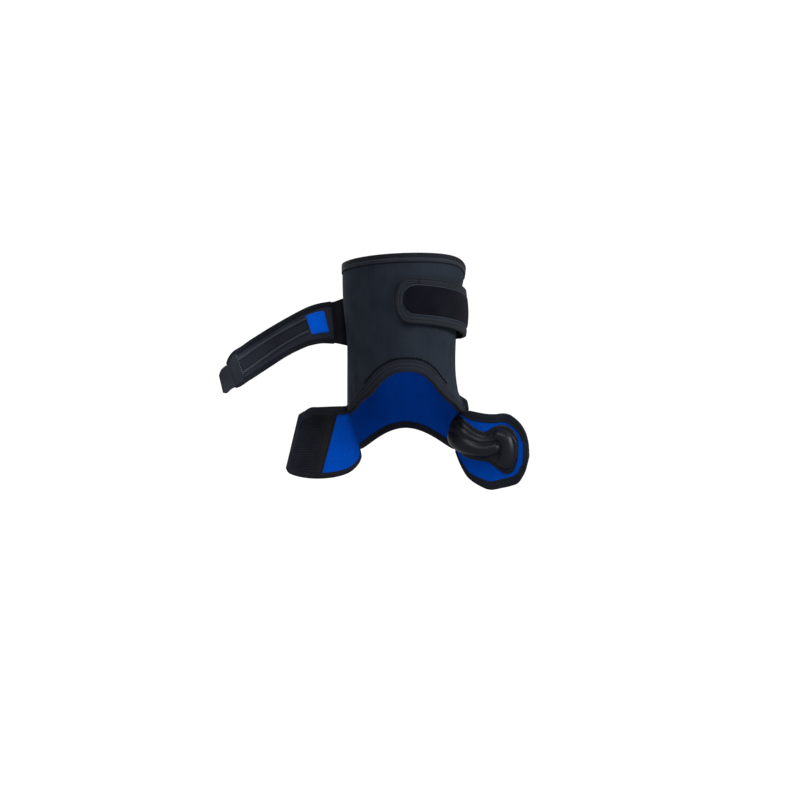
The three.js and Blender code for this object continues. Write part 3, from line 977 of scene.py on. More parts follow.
def mottle_group() -> None:
    """Makes the uneven tone: broad soft patches, a finer fleck and upright streaks.

    The group leads from a vector and a scale to a tone, a fleck and a streak, each from 0 to 1.
    """
    sockets = [("Vector", "NodeSocketVector"), ("Scale", "NodeSocketFloat")]
    graph, source, result = group_of("mottle", sockets, ["Tone", "Fleck", "Streak"])
    upright = (1.0, 1.0, 0.05)
    stretch = graph.add("ShaderNodeVectorMath", operation="MULTIPLY")
    graph.join(source.outputs["Vector"], stretch.inputs[0])
    stretch.inputs[1].default_value = upright
    plain, drawn = source.outputs["Vector"], stretch.outputs[0]
    kinds = (
        ("Tone", 1.0, 4.0, plain),
        ("Fleck", 24.0, 2.0, plain),
        ("Streak", 10.0, 2.0, drawn),
    )
    for label, times, detail, vector in kinds:
        noise = graph.add("ShaderNodeTexNoise")
        graph.join(vector, noise.inputs["Vector"])
        graph.join(graph.math("MULTIPLY", source.outputs["Scale"], times), noise.inputs["Scale"])
        noise.inputs["Detail"].default_value = detail
        graph.join(noise.outputs["Fac"], result.inputs[label])


def linear(rgb: tuple[int, int, int]) -> tuple[float, float, float, float]:
    """A screen colour as scene light.

    Args:
        rgb: Red, green and blue from 0 to 255.

    Returns:
        The linear colour with full alpha.
    """
    share = np.array(rgb, float) / 255
    light = np.where(share <= 0.04045, share / 12.92, ((share + 0.055) / 1.055) ** 2.4)
    return (*(float(x) for x in light), 1.0)


@dataclass(frozen=True)
class Finish:
    """A cloth finish.

    Attributes:
        name: The material's name.
        slot: The material slot that it belongs to; not used.
        dark: Screen colour in the hollows of the pattern.
        light: Screen colour on top of the pattern.
        way: The kind of pattern.
        across: Distance between ribs, in metres.
        along: Distance between rows, in metres.
        depth: Height of the pattern, in metres.
        rough: Roughness.
        shine: Strength of the mirror reflection.
        sheen: Strength of the soft glow of fibres.
        patch: How strongly the tone varies from place to place.
        turned: Whether the ribs run the other way.
        streak: How strongly upright streaks show.
    """

    name: str
    slot: str
    dark: tuple[int, int, int]
    light: tuple[int, int, int]
    way: Way = Way.KNIT
    across: float = 0.0011
    along: float = 0.0009
    depth: float = 0.00018
    rough: float = 0.9
    shine: float = 0.12
    sheen: float = 0.0
    patch: float = 0.5
    turned: bool = False
    streak: float = 0.0

    def pattern(self, graph: Graph, vector: object, mottle: bpy.types.Node) -> bpy.types.NodeSocket:
        """Adds the height of the pattern.

        Args:
            graph: The material's nodes.
            vector: Lengths over the cloth.
            mottle: The node of the uneven tone.

        Returns:
            A height from about 0 to 1.
        """
        pile_fleck, weave_fleck, weave_share = 0.5, 0.25, 0.85
        if self.way in (Way.PILE, Way.GRAIN):
            cells = graph.add("ShaderNodeTexVoronoi", feature="SMOOTH_F1")
            graph.join(vector, cells.inputs["Vector"])
            cells.inputs["Scale"].default_value = 1 / self.across
            fleck = graph.math("MULTIPLY", mottle.outputs["Fleck"], pile_fleck)
            return graph.math("ADD", cells.outputs["Distance"], fleck)
        weave = graph.add("ShaderNodeGroup", node_tree=bpy.data.node_groups["weave"])
        if self.turned:
            turn = graph.add("ShaderNodeVectorRotate", rotation_type="Z_AXIS")
            turn.inputs["Angle"].default_value = math.pi / 2
            graph.join(vector, turn.inputs["Vector"])
            vector = turn.outputs[0]
        graph.join(vector, weave.inputs["Vector"])
        weave.inputs["Across"].default_value = self.across
        weave.inputs["Along"].default_value = self.along
        fleck = graph.math("MULTIPLY", mottle.outputs["Fleck"], weave_fleck)
        return graph.math("ADD", graph.math("MULTIPLY", weave.outputs["Height"], weave_share), fleck)

    def build(self) -> bpy.types.Material:
        """Makes the material.

        Returns:
            The material.
        """
        patch_scale, middle, pattern_share = 45.0, 0.5, 0.8
        rough_spread, sheen_rough = 0.12, 0.5
        material = bpy.data.materials.new(self.name)
        material.use_nodes = True
        graph = Graph(material.node_tree)
        place = graph.add("ShaderNodeTexCoord")
        lengths = graph.add("ShaderNodeUVMap", uv_map=UV_NAME)
        mottle = graph.add("ShaderNodeGroup", node_tree=bpy.data.node_groups["mottle"])
        graph.join(place.outputs["Object"], mottle.inputs["Vector"])
        mottle.inputs["Scale"].default_value = patch_scale
        height = self.pattern(graph, lengths.outputs[0], mottle)
        tone = graph.math("SUBTRACT", mottle.outputs["Tone"], middle)
        spread = graph.math("MULTIPLY", tone, self.patch * 2)
        share = graph.math("ADD", graph.math("MULTIPLY", height, pattern_share), spread)
        if self.streak:
            lines = graph.math("SUBTRACT", mottle.outputs["Streak"], middle)
            share = graph.math("MULTIPLY_ADD", lines, self.streak * 2, share)
        clamp = graph.add("ShaderNodeClamp")
        graph.join(share, clamp.inputs[0])
        colour = graph.mix(clamp.outputs[0], linear(self.dark), linear(self.light))
        # Painted shade: the share stored on the mesh mixes the colour towards a near-black
        shade = graph.add("ShaderNodeAttribute", attribute_name=PAINTED_SHADE_NAME)
        colour = graph.mix(shade.outputs["Fac"], colour, linear(PAINTED_SHADE_COLOUR))
        bump = graph.add("ShaderNodeBump")
        bump.inputs["Strength"].default_value = 1.0
        bump.inputs["Distance"].default_value = self.depth
        graph.join(height, bump.inputs["Height"])
        shader = graph.add("ShaderNodeBsdfPrincipled")
        graph.join(colour, shader.inputs["Base Color"])
        least = self.rough - rough_spread / 2
        rough = graph.math("MULTIPLY_ADD", mottle.outputs["Fleck"], rough_spread, least)
        graph.join(rough, shader.inputs["Roughness"])
        graph.join(bump.outputs["Normal"], shader.inputs["Normal"])
        shader.inputs["Specular IOR Level"].default_value = self.shine
        shader.inputs["Sheen Weight"].default_value = self.sheen
        shader.inputs["Sheen Roughness"].default_value = sheen_rough
        end = graph.add("ShaderNodeOutputMaterial")
        graph.join(shader.outputs[0], end.inputs["Surface"])
        return material


NEOPRENE = Finish("neoprene_knit", "neoprene", (16, 20, 26), (31, 36, 44), shine=0.03, streak=0.18)
ARM_KNIT = replace(NEOPRENE, name="arm_knit", dark=(22, 24, 31), light=(42, 45, 54), streak=0.0)
BLUE = Finish(
    "blue_lining",
    "lining",
    (0, 36, 96),
    (1, 51, 134),
    Way.PILE,
    across=0.0009,
    depth=0.0001,
    rough=0.95,
    shine=0.01,
    patch=0.35,
)
BLUE_SQUARE = replace(BLUE, name="blue_square", dark=(0, 58, 146), light=(2, 80, 196))
BINDING = Finish(
    "edge_tape",
    "binding",
    (11, 13, 18),
    (25, 28, 36),
    Way.RIBS,
    across=0.0012,
    along=0.0016,
    depth=0.0002,
    rough=0.8,
    shine=0.05,
)
WING_TAPE = replace(BINDING, name="wing_tape", dark=(9, 11, 15), light=(24, 27, 35))
STRAP_TRIM = replace(BINDING, name="strap_trim", dark=(13, 15, 18), light=(24, 27, 32))
TOP_TAPE = replace(
    BINDING, name="hem_tape", dark=(15, 17, 22), light=(32, 35, 42), across=0.0009, along=0.0014, rough=0.75
)
# Painted highlight: the raised ribs along the free arm are coloured lighter than the arm's knit
ARM_RIB_HIGHLIGHT = replace(TOP_TAPE, name="arm_rib_highlight", dark=(31, 35, 40), light=(52, 57, 64))
HOOK = Finish(
    "hook_ribs",
    "hook_tape",
    (6, 7, 11),
    (19, 21, 29),
    Way.HOOKS,
    across=0.0027,
    along=0.0011,
    depth=0.0006,
    rough=0.8,
    shine=0.04,
    turned=True,
)
HOOK_EDGE = Finish(
    "hook_edge",
    "hook_tape",
    (9, 9, 12),
    (18, 18, 22),
    Way.RIBS,
    across=0.0009,
    depth=0.0001,
    rough=0.7,
    shine=0.05,
)
HOOK_STRIP = Finish(
    "hook_strip_ribs",
    "hook_tape",
    (15, 17, 24),
    (30, 33, 42),
    Way.HOOKS,
    across=0.0016,
    along=0.0011,
    depth=0.0003,
)
LOOP = Finish(
    "loop_velvet",
    "loop_pile",
    (4, 4, 8),
    (12, 12, 19),
    Way.PILE,
    across=0.0008,
    depth=0.0003,
    rough=1.0,
    shine=0.01,
    sheen=0.02,
    patch=0.6,
)
ELASTIC = replace(
    BINDING,
    name="elastic_web",
    slot="neoprene",
    dark=(12, 12, 18),
    light=(26, 26, 36),
    across=0.0018,
    along=0.0012,
    depth=0.0004,
    rough=0.85,
)
PAD = Finish(
    "pad_satin",
    "pad",
    (6, 8, 14),
    (11, 13, 21),
    Way.GRAIN,
    across=0.0012,
    depth=0.00006,
    rough=0.42,
    shine=0.1,
    patch=0.3,
)
TAB_KNIT = Finish(
    "tab_knit",
    "hook_tape",
    (19, 21, 26),
    (42, 44, 52),
    across=0.0016,
    along=0.0014,
    depth=0.0004,
    rough=0.8,
    shine=0.04,
)
THREAD = Finish(
    "light_thread",
    "binding",
    (32, 36, 42),
    (50, 55, 62),
    Way.RIBS,
    across=0.0004,
    along=0.0004,
    depth=0.00005,
    rough=0.7,
    shine=0.05,
)
WING_THREAD = replace(THREAD, name="wing_thread", dark=(16, 18, 22), light=(30, 33, 38))
SEAM_THREAD = replace(THREAD, name="seam_thread", dark=(48, 52, 53), light=(70, 75, 76), shine=0.12)
DARK_THREAD = replace(THREAD, name="dark_thread", dark=(4, 4, 6), light=(10, 10, 14), rough=0.8, shine=0.03)
FINISHES = (
    NEOPRENE, BLUE, BLUE_SQUARE, BINDING, WING_TAPE, TOP_TAPE, STRAP_TRIM,
    HOOK, HOOK_EDGE, HOOK_STRIP, LOOP, ELASTIC, PAD, THREAD,
    ARM_KNIT, WING_THREAD, SEAM_THREAD, ARM_RIB_HIGHLIGHT, TAB_KNIT, DARK_THREAD,
)


def dress(piece: bpy.types.Object, finish: Finish, *nodes: str) -> bpy.types.Object:
    """Gives a piece its finish and its body, and hides the frame's nodes that it stands for.

    Args:
        piece: The piece.
        finish: Its finish.
        nodes: Names of the frame's nodes that it replaces.

    Returns:
        The piece.
    """
    piece.data.materials.append(bpy.data.materials[finish.name])
    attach(piece, "root")
    if nodes:
        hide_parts(*nodes)
    return piece


def paint_shade(piece: bpy.types.Object, share: Callable[[Array, Array], Array]) -> None:
    """Stores painted shade on a piece that goes round the leg, as a share at each point.

    Args:
        piece: The piece.
        share: Gives a share from 0 to 1 for angles round the leg and heights.
    """
    mesh = piece.data
    flat = np.zeros(3 * len(mesh.vertices), np.float32)
    mesh.vertices.foreach_get("co", flat)
    x, y, z = flat.reshape(-1, 3).T.astype(float) / METRES
    layer = mesh.attributes.new(PAINTED_SHADE_NAME, "FLOAT", "POINT")
    layer.data.foreach_set("value", share(np.degrees(np.arctan2(x, -y)), z).astype(np.float32))


@dataclass(frozen=True)
class CuffForm:
    """Form of the thigh cuff.

    Attributes:
        top_height: Middle height of the top edge.
        top_tilt: Rise of the top edge in front.
        top_roll: Rise of the top edge on the right.
        arch_foot: Height of the arch's feet.
        arch_rise: Rise of the arch.
        arch_power: How square the arch is.
        arch_angle: Angle of the arch's middle.
        arch_spread: Half width of the arch's left side in degrees.
        right_spread: Half width of its right side.
        notch: Angle where the wings' top edges start.
        hinge: Angle where the wings' low edges start.
        hinge_foot: Height of the hinge lines' feet.
        back_rise: Rise of the low edge behind the knee.
    """

    top_height: float = 156.2
    top_tilt: float = 4.9
    top_roll: float = 2.4
    arch_foot: float = -14.0
    arch_rise: float = 46.0
    arch_power: int = 3
    arch_angle: float = 4.5
    arch_spread: float = 40.0
    right_spread: float = 42.6
    notch: float = 90.0
    hinge: float = 108.0
    hinge_foot: float = -56.0
    back_rise: float = 24.0

    def pucker(self, angle: Array, z: Array) -> Array:
        """How far the cloth stands out in the pucker above the right hinge.

        Args:
            angle: Angles round the leg.
            z: Heights.

        Returns:
            Distances out.
        """
        return PUCKER.at(angle) * np.exp(-(((z - PUCKER_Z) / PUCKER_REACH) ** PUCKER_POWER))

    def shade(self, angle: Array, z: Array) -> Array:
        """Painted shade on the knit in the crease on the front side of the pucker.

        Args:
            angle: Angles round the leg.
            z: Heights.

        Returns:
            Shares from 0 to 1.
        """
        return CREASE_SHADE.at(angle) * ease(*CREASE_RISE, self.pucker(angle, z))

    def folds(self, angle: Array, z: Array) -> Array:
        """How far the cloth stands out in the pucker above the right hinge and in soft upright folds.

        Args:
            angle: Angles round the leg.
            z: Heights.

        Returns:
            Distances out.
        """
        right, left = (fold.at(angle, z) for fold in SIDE_FOLDS)
        return self.pucker(angle, z) + right + left + BACK_FOLD.at(np.abs(angle), z)

    def point(self, angle: Array, z: Array, out: Array | float) -> Array:
        """A point of the cuff: an ellipse about the leg at each height.

        Args:
            angle: Angles round the leg.
            z: Heights.
            out: Distances out from the inside face.

        Returns:
            The points.
        """
        form = CUFF_CURVE(z)
        turn = np.radians(angle)
        swell = out + self.folds(wrapped(angle), z)
        x = form[..., 0] + (form[..., 1] + swell) * np.sin(turn)
        y = form[..., 2] - (form[..., 3] + swell) * np.cos(turn)
        return np.stack([x, y, np.broadcast_to(z, x.shape)], axis=-1)

    def top(self, angle: Array) -> Array:
        """Height of the top edge, higher in front and dipped at the right side.

        Args:
            angle: Angles round the leg.

        Returns:
            The heights.
        """
        turn = np.radians(angle)
        dip = TOP_DIP.at(wrapped(angle))
        return self.top_height + self.top_tilt * np.cos(turn) + self.top_roll * np.sin(turn) - dip

    def low(self, angle: Array) -> Array:
        """Height of the low edge: the arch, the two hinge lines and the rise behind the knee.

        Args:
            angle: Angles round the leg.

        Returns:
            The heights.
        """
        turn = wrapped(angle)
        side = np.abs(turn)
        spread = np.where(turn > self.arch_angle, self.right_spread, self.arch_spread)
        off = np.abs(turn - self.arch_angle) / spread
        flare = sum(bump.at(turn) for bump in ARCH_FLARES)
        arch = self.arch_foot + self.arch_rise * np.exp(-(off**self.arch_power)) + flare
        down = np.clip((side - self.notch) / (self.hinge - self.notch), 0, 1)
        line = self.arch_foot + (self.hinge_foot - self.arch_foot) * down
        return np.where(side <= self.notch, arch, line + self.back_rise * ease(self.hinge, 180, side))

    def hem(
        self, angles: Array, edge: Array, profile: Array, square: bool, narrow: Array | float = 1.0
    ) -> tuple[Array, Array]:
        """A tape along an edge of the cuff, laid in the unrolled sheet of angle and height.

        Args:
            angles: Angles along the edge.
            edge: Heights of the edge.
            profile: Insets and levels of the tape.
            square: Whether insets run square to the edge, or else straight up or down by their sign.
            narrow: Share of its width that the tape has at each angle.

        Returns:
            The points of the tape, and the unit directions in degrees and millimetres that its insets run.
        """
        girth = math.radians(1) * (CUFF_CURVE(edge)[..., 3] + WALL)
        slope = np.gradient(edge, angles * girth.mean())
        length = np.sqrt(1 + slope**2) if square else np.ones_like(slope)
        turn = -slope / length / girth if square else np.zeros_like(slope)
        rise = 1 / length
        inset, level = profile[:, 0] * np.broadcast_to(narrow, angles.shape)[:, None], profile[:, 1]
        points = self.point(
            angles[:, None] + turn[:, None] * inset, edge[:, None] + rise[:, None] * inset, level
        )
        return points, np.stack([turn, rise], axis=-1)


CUFF_CURVE = table_curve(CUFF_SECTIONS)
STRAP_CURVE = table_curve(STRAP_COURSE)
CUFF = CuffForm()


@dataclass
class Cuff:
    """The thigh cuff with its lining, its edge tapes and their stitching.

    Attributes:
        step: Angle between columns of points.
        rows: Rows of points from edge to edge.
        top_tape: Width of the tape on the top edge.
        arch_tape: Width of the facing along the arch.
        back_tape: Width of the tape behind the knee.
        inner_tape: Width of the tapes on the inside.
        top_dent: Inset of the stitched line on the top tape.
        arch_dents: Insets of the stitched lines on the facing.
        back_dent: Inset of the stitched line behind the knee.
        arch_reach: Half angle of the facing.
        foot_loss: Share of its width that the facing loses towards its feet.
        foot_span: Angles from the arch's middle between which it narrows.
        seam_reach: Half angle of the dark seam over the arch.
        seam_rows: Distances of the seam's two rows from the facing.
    """

    step: float = 1.5
    rows: int = 100
    top_tape: float = 9.4
    arch_tape: float = 13.2
    back_tape: float = 8.0
    inner_tape: float = 7.0
    top_dent: float = 5.2
    arch_dents: tuple[float, float] = (4.0, 8.2)
    back_dent: float = 5.6
    arch_reach: float = 89.0
    foot_loss: float = 0.36
    foot_span: tuple[float, float] = (34.0, 70.0)
    seam_reach: float = 40.0
    seam_rows: tuple[float, float] = (0.2, 1.1)

    def ring(self, out: float) -> Array:
        """A ring of points between the two edges.

        Args:
            out: Distance out from the inside face.

        Returns:
            The points by angle and row.
        """
        angle = np.arange(-180.0, 180.0, self.step)[:, None]
        share = np.linspace(0, 1, self.rows)
        z = CUFF.top(angle) * (1 - share) + CUFF.low(angle) * share
        return CUFF.point(np.broadcast_to(angle, z.shape), z, out)

    def line(
        self, angles: Array, edge: Array, ways: Array, inset: Array | float, level: float
    ) -> tuple[Array, Array]:
        """A stitched line at an inset from an edge, with the cloth's normals along it.

        Args:
            angles: Angles along the edge.
            edge: Heights of the edge.
            ways: Directions in which insets run.
            inset: Distance from the edge.
            level: Distance out from the inside face.

        Returns:
            The line's points and normals.
        """
        at, z = angles + ways[:, 0] * inset, edge + ways[:, 1] * inset
        here = CUFF.point(at, z, level)
        return here, unit(CUFF.point(at, z, level + 1.0) - here)

    def build(self) -> None:
        """Makes the shell, the lining, the tapes and the stitches."""
        inside, middle, outside = (self.ring(out) for out in (0.0, LINING, WALL))
        shell = dress(wall_object("cuff_shell", middle, outside, closed=True), NEOPRENE, "thigh_cuff")
        # Painted shade in the crease on the front side of the pucker
        paint_shade(shell, CUFF.shade)
        lining = dress(wall_object("cuff_lining_face", inside, middle, closed=True), BLUE, "cuff_lining")
        trim = [*self.build_top(), *self.build_arch(), *self.build_back()]

    def build_top(self) -> list[bpy.types.Object]:
        """Makes the tape on the top edge and its two stitched lines.

        Returns:
            The pieces.
        """
        angles = np.arange(-180.0, 180.0 + self.step, self.step)
        edge = CUFF.top(angles)
        profile = tape_profile(WALL, self.top_tape, self.inner_tape, (self.top_dent,))
        downwards = profile * np.array([-1.0, 1.0])
        points, ways = CUFF.hem(angles, edge, downwards, square=False)
        tape = dress(sheet_object("top_tape", points, flip=True), TOP_TAPE, "top_binding")
        # Painted shade over the upper part of the hem tape, near the top edge
        shade, low, high = TOP_SHADE
        paint_shade(tape, lambda angle, z: shade * ease(low, high, z - CUFF.top(angle)))
        light = [(TOP_STITCH, *self.line(angles, edge, ways, -self.top_dent, WALL + TAPE - STITCH_DIP))]
        dark = [(TOP_SEAM, *self.line(angles, edge, ways, -self.top_tape, WALL + SEAM_LIFT))]
        stitches = dress(thread_object("top_stitches", light), THREAD)
        return [tape, stitches, dress(thread_object("top_seam", dark), DARK_THREAD)]

    def build_arch(self) -> list[bpy.types.Object]:
        """Makes the facing along the arch, its stitched line and the dark seam over it.

        Returns:
            The pieces.
        """
        angles = np.linspace(-self.arch_reach, self.arch_reach, 161)
        edge = CUFF.low(angles)
        profile = tape_profile(WALL, self.arch_tape, self.inner_tape, self.arch_dents)
        narrow = 1 - self.foot_loss * ease(*self.foot_span, np.abs(angles - CUFF.arch_angle))
        points, ways = CUFF.hem(angles, edge, profile, square=True, narrow=narrow)
        tape = dress(sheet_object("arch_tape", points), BINDING, "arch_binding")
        # Painted shade on the facing, darker towards its low feet
        shade, low, high = ARCH_SHADE
        paint_shade(tape, lambda angle, z: shade * (1 - ease(low, high, z)))
        light = []
        for inset in self.arch_dents:
            row = self.line(angles, edge, ways, inset * narrow, WALL + TAPE - STITCH_DIP)
            light.append((PLAIN_STITCH, *row))
        near = np.abs(angles - CUFF.arch_angle) < self.seam_reach
        seam = (angles[near], edge[near], ways[near])
        dark = []
        for way, off in zip((1.0, -1.0), self.seam_rows):
            zigzag = replace(ARCH_SEAM, swing=way * ARCH_SEAM.swing)
            row = self.line(*seam, self.arch_tape * narrow[near] + off, WALL + SEAM_LIFT)
            dark.append((zigzag, *row))
        stitches = dress(thread_object("arch_stitches", light), THREAD)
        return [tape, stitches, dress(thread_object("arch_seam", dark), DARK_THREAD)]

    def build_back(self) -> list[bpy.types.Object]:
        """Makes the tape on the low edge behind the knee and its stitched line.

        Returns:
            The pieces.
        """
        past = 1.0
        angles = np.linspace(CUFF.hinge - past, 360 - CUFF.hinge + past, 121)
        edge = CUFF.low(angles)
        profile = tape_profile(WALL, self.back_tape, self.inner_tape, (self.back_dent,))
        points, ways = CUFF.hem(angles, edge, profile, square=True)
        tape = dress(sheet_object("back_tape", points), BINDING, "back_binding")
        row = self.line(angles, edge, ways, self.back_dent, WALL + TAPE - STITCH_DIP)
        return [tape, dress(thread_object("back_stitches", [(PLAIN_STITCH, *row)]), THREAD)]


@dataclass(frozen=True)
class TapeWidths:
    """How the width of a rim tape varies, in shares of its full width.

    Attributes:
        top_loss: Loss at the root of the top edge.
        low_loss: Loss at the root of the low edge.
        low_share: Share on the low edge.
        end_gain: Gain towards the sheet's end.
    """

    top_loss: float = 0.0
    low_loss: float = 0.0
    low_share: float = 1.0
    end_gain: float = 0.0

    def shares(self, u: Array, v: Array) -> Array:
        """Shares of the full width along the rim.

        Args:
            u: Places along the sheet.
            v: Places across it.

        Returns:
            The shares.
        """
        top_root, low_root, turn_span, end_span = 0.24, 0.5, (0.1, 0.9), (0.76, 0.96)
        upper = 1 - self.top_loss * (1 - ease(0.0, top_root, u))
        lower = self.low_share * (1 - self.low_loss * (1 - ease(0.0, low_root, u)))
        turn = ease(*turn_span, v)
        return (upper * (1 - turn) + lower * turn) * (1 + self.end_gain * ease(*end_span, u))


@dataclass
class RimTape:
    """A folded tape round the free edge of a sheet.

    Attributes:
        surface: The sheet's inside face.
        outward: Direction on the sheet's outer side.
        wall: Thickness of the sheet.
        width: Width of the tape on both sides.
        spine: Share along the sheet where insets stop running straight across and turn towards one point.
        dent: Inset of the stitched line.
        widths: How its width varies.
    """

    surface: Surface
    outward: Array
    wall: float
    width: float
    spine: float
    dent: float
    widths: TapeWidths = TapeWidths()

    def grid(self, rim: Array, profile: Array) -> Array:
        """Points of the tape: insets run from the rim towards the sheet's spine, and levels off the sheet.

        Args:
            rim: Places u and v along the rim.
            profile: Insets and levels.

        Returns:
            The points along the rim and round the tape.
        """
        u, v = rim[:, 0], rim[:, 1]
        here = self.surface(u, v)
        normal = calm_normals(self.surface, u, v, self.outward)
        goal = np.stack([np.minimum(u, self.spine), np.full_like(v, 0.5)], axis=-1)
        ahead = unit(np.gradient(here, axis=0))
        inward = unit(np.cross(ahead, normal))
        reach = self.surface(goal[:, 0], goal[:, 1]) - here
        inward *= np.sign((inward * reach).sum(-1, keepdims=True))
        padded = np.pad(inward, ((CORNER_STEPS, CORNER_STEPS), (0, 0)), mode="edge")
        inward = unit(sum(padded[i : i + len(inward)] for i in range(2 * CORNER_STEPS + 1)))
        square = np.maximum((inward * reach).sum(-1), 1.0)
        inset, level = profile[:, 0] * self.widths.shares(u, v)[:, None], profile[:, 1]
        share = np.maximum(inset, 0.0) / square[:, None]
        at = rim[:, None] + (goal - rim)[:, None] * share[..., None]
        spot = self.surface(at[..., 0], at[..., 1])
        lean = calm_normals(self.surface, at[..., 0], at[..., 1], self.outward)
        past = np.minimum(inset, 0.0)[..., None] * inward[:, None]
        return spot + past + lean * level[None, :, None]

    def build(self, name: str, rim: Array, finish: Finish, node: str) -> list[bpy.types.Object]:
        """Makes the tape and a stitched line on each side.

        Args:
            name: Start of the pieces' names.
            rim: Places u and v along the rim.
            finish: The tape's finish.
            node: The frame's node that it stands for.

        Returns:
            The pieces.
        """
        profile = tape_profile(self.wall, self.width, self.width, (self.dent,))
        tape = dress(sheet_object(name + "_tape", self.grid(rim, profile)), finish, node)
        rows = []
        for level, way in ((STITCH_DIP - TAPE, -1.0), (self.wall + TAPE - STITCH_DIP, 1.0)):
            line = self.grid(rim, np.array([[self.dent, level], [self.dent, level + way]]))
            rows.append((PLAIN_STITCH, line[:, 0], unit(line[:, 1] - line[:, 0])))
        return [tape, dress(thread_object(name + "_stitches", rows), WING_THREAD)]


def open_rim(start: float, count: int = 70, end_count: int = 46) -> Array:
    """Places along a sheet's top edge, down its end and back along its low edge.

    Args:
        start: Share along the sheet where it starts and stops.
        count: Places on each long edge.
        end_count: Places on the end.

    Returns:
        Pairs of u and v.
    """
    along = np.linspace(start, 1.0, count)
    down = np.linspace(0.0, 1.0, end_count)[1:-1]
    top = np.stack([along, np.zeros(count)], axis=-1)
    end = np.stack([np.ones(end_count - 2), down], axis=-1)
    low = np.stack([along[::-1], np.ones(count)], axis=-1)
    return np.vstack([top, end, low])


@dataclass
class Wing:
    """A wing of the brace: shell, lining and the tape round its free edge.

    Attributes:
        name: The frame's node.
        rows: Sections of the lined face.
        tape: Width of the edge tape.
        low_shade: How much painted shade the tape gets along the low edge.
        widths: How the tape's width varies.
        rim_start: Share along the wing where the tape starts.
        spine: Share along the wing where the tape's insets turn towards one point.
        dent: Share of the tape's width from its edge to its stitched line.
        splay: How far the wing's outer side is turned from the leg's back.
        hinge_fit: Share along the wing over which it settles on the hinge line.
    """

    name: str
    rows: Sequence[WingSection]
    tape: float
    low_shade: float
    widths: TapeWidths
    rim_start: float = 0.03
    spine: float = 0.62
    dent: float = 0.68
    splay: float = 0.25
    hinge_fit: float = 0.12

    @property
    def side(self) -> float:
        """The wing's side of the leg.

        Returns:
            1 on the right and -1 on the left.
        """
        return math.copysign(1.0, self.rows[0].top_x)

    @property
    def outward(self) -> Array:
        """A direction on the outer side of the whole wing.

        Returns:
            The direction.
        """
        return np.array([self.splay * self.side, 1.0, 0.0])

    def surface(self) -> Surface:
        """The lined face: ruled between its edges and drawn to the hinge line at its root.

        Returns:
            The surface.
        """
        base = ruled(self.rows)
        just_past = 1.0001

        def read(u: Array, v: Array) -> Array:
            share = np.clip(v, 0, 1)
            angle = self.side * (CUFF.notch + (CUFF.hinge - CUFF.notch) * share)
            hinge = CUFF.point(angle, CUFF.low(angle * just_past), 0.0)
            pull = 1 - ease(0.0, self.hinge_fit, np.asarray(u, float))
            return base(u, v) + pull[..., None] * (hinge - base(np.zeros_like(share), share))

        return read

    def build(self) -> Surface:
        """Makes the pieces.

        Returns:
            The lined face.
        """
        face = self.surface()
        u, v = mesh_grid(90, 60)
        inside = face(u, v)
        normal = calm_normals(face, u, v, self.outward)
        shell_far = inside + normal * WALL
        mid = inside + normal * LINING
        shell = dress(wall_object(self.name + "_shell", mid, shell_far), NEOPRENE, self.name)
        lining = dress(wall_object(self.name + "_lining_face", inside, mid), BLUE, self.name + "_lining")
        dent = self.dent * self.tape
        rim = RimTape(face, self.outward, WALL, self.tape, self.spine, dent, self.widths)
        trim = rim.build(self.name, open_rim(self.rim_start), WING_TAPE, self.name + "_binding")
        # Painted shade along the low edge of the tape, darker towards the bottom
        paint_shade(trim[0], lambda angle, z: self.low_shade * (1 - ease(*WING_FADE, z)))
        return face


def panel_height(u: Array, v: Array, spans: tuple[float, float], height: float, rounding: float) -> Array:
    """Height of a thin panel whose edges are rounded down into what it lies on.

    Args:
        u: Shares along.
        v: Shares across.
        spans: Length and width of the panel.
        height: Height of its middle.
        rounding: Width of the rounded edge.

    Returns:
        The heights.
    """
    gap_u = np.minimum(u, 1 - u) * spans[0]
    gap_v = np.minimum(v, 1 - v) * spans[1]
    near = np.clip(np.minimum(gap_u, gap_v) / rounding, 0, 1)
    tucked = 0.25
    return height * np.sqrt(1 - (1 - near) ** 2) - tucked * (near == 0)


def border_line(ground: Ground, inset: float, height: float, counts: tuple[int, int]) -> tuple[Array, Array]:
    """A stitched line round a panel.

    Args:
        ground: What the panel lies on, in the panel's own shares.
        inset: Share of the panel's width and length between the line and the edge.
        height: Height of the line over the face.
        counts: Places on the long and on the short edges.

    Returns:
        The line's points and normals.
    """
    long, short = np.linspace(inset, 1 - inset, counts[0]), np.linspace(inset, 1 - inset, counts[1])
    low, high = np.full(counts[0], inset), np.full(counts[0], 1 - inset)
    left, right = np.full(counts[1], inset), np.full(counts[1], 1 - inset)
    u = np.concatenate([long, right[1:], long[::-1][1:], left[1:]])
    v = np.concatenate([low, short[1:], high[1:], short[::-1][1:]])
    here, normal = ground(u, v)
    return here + normal * height, normal


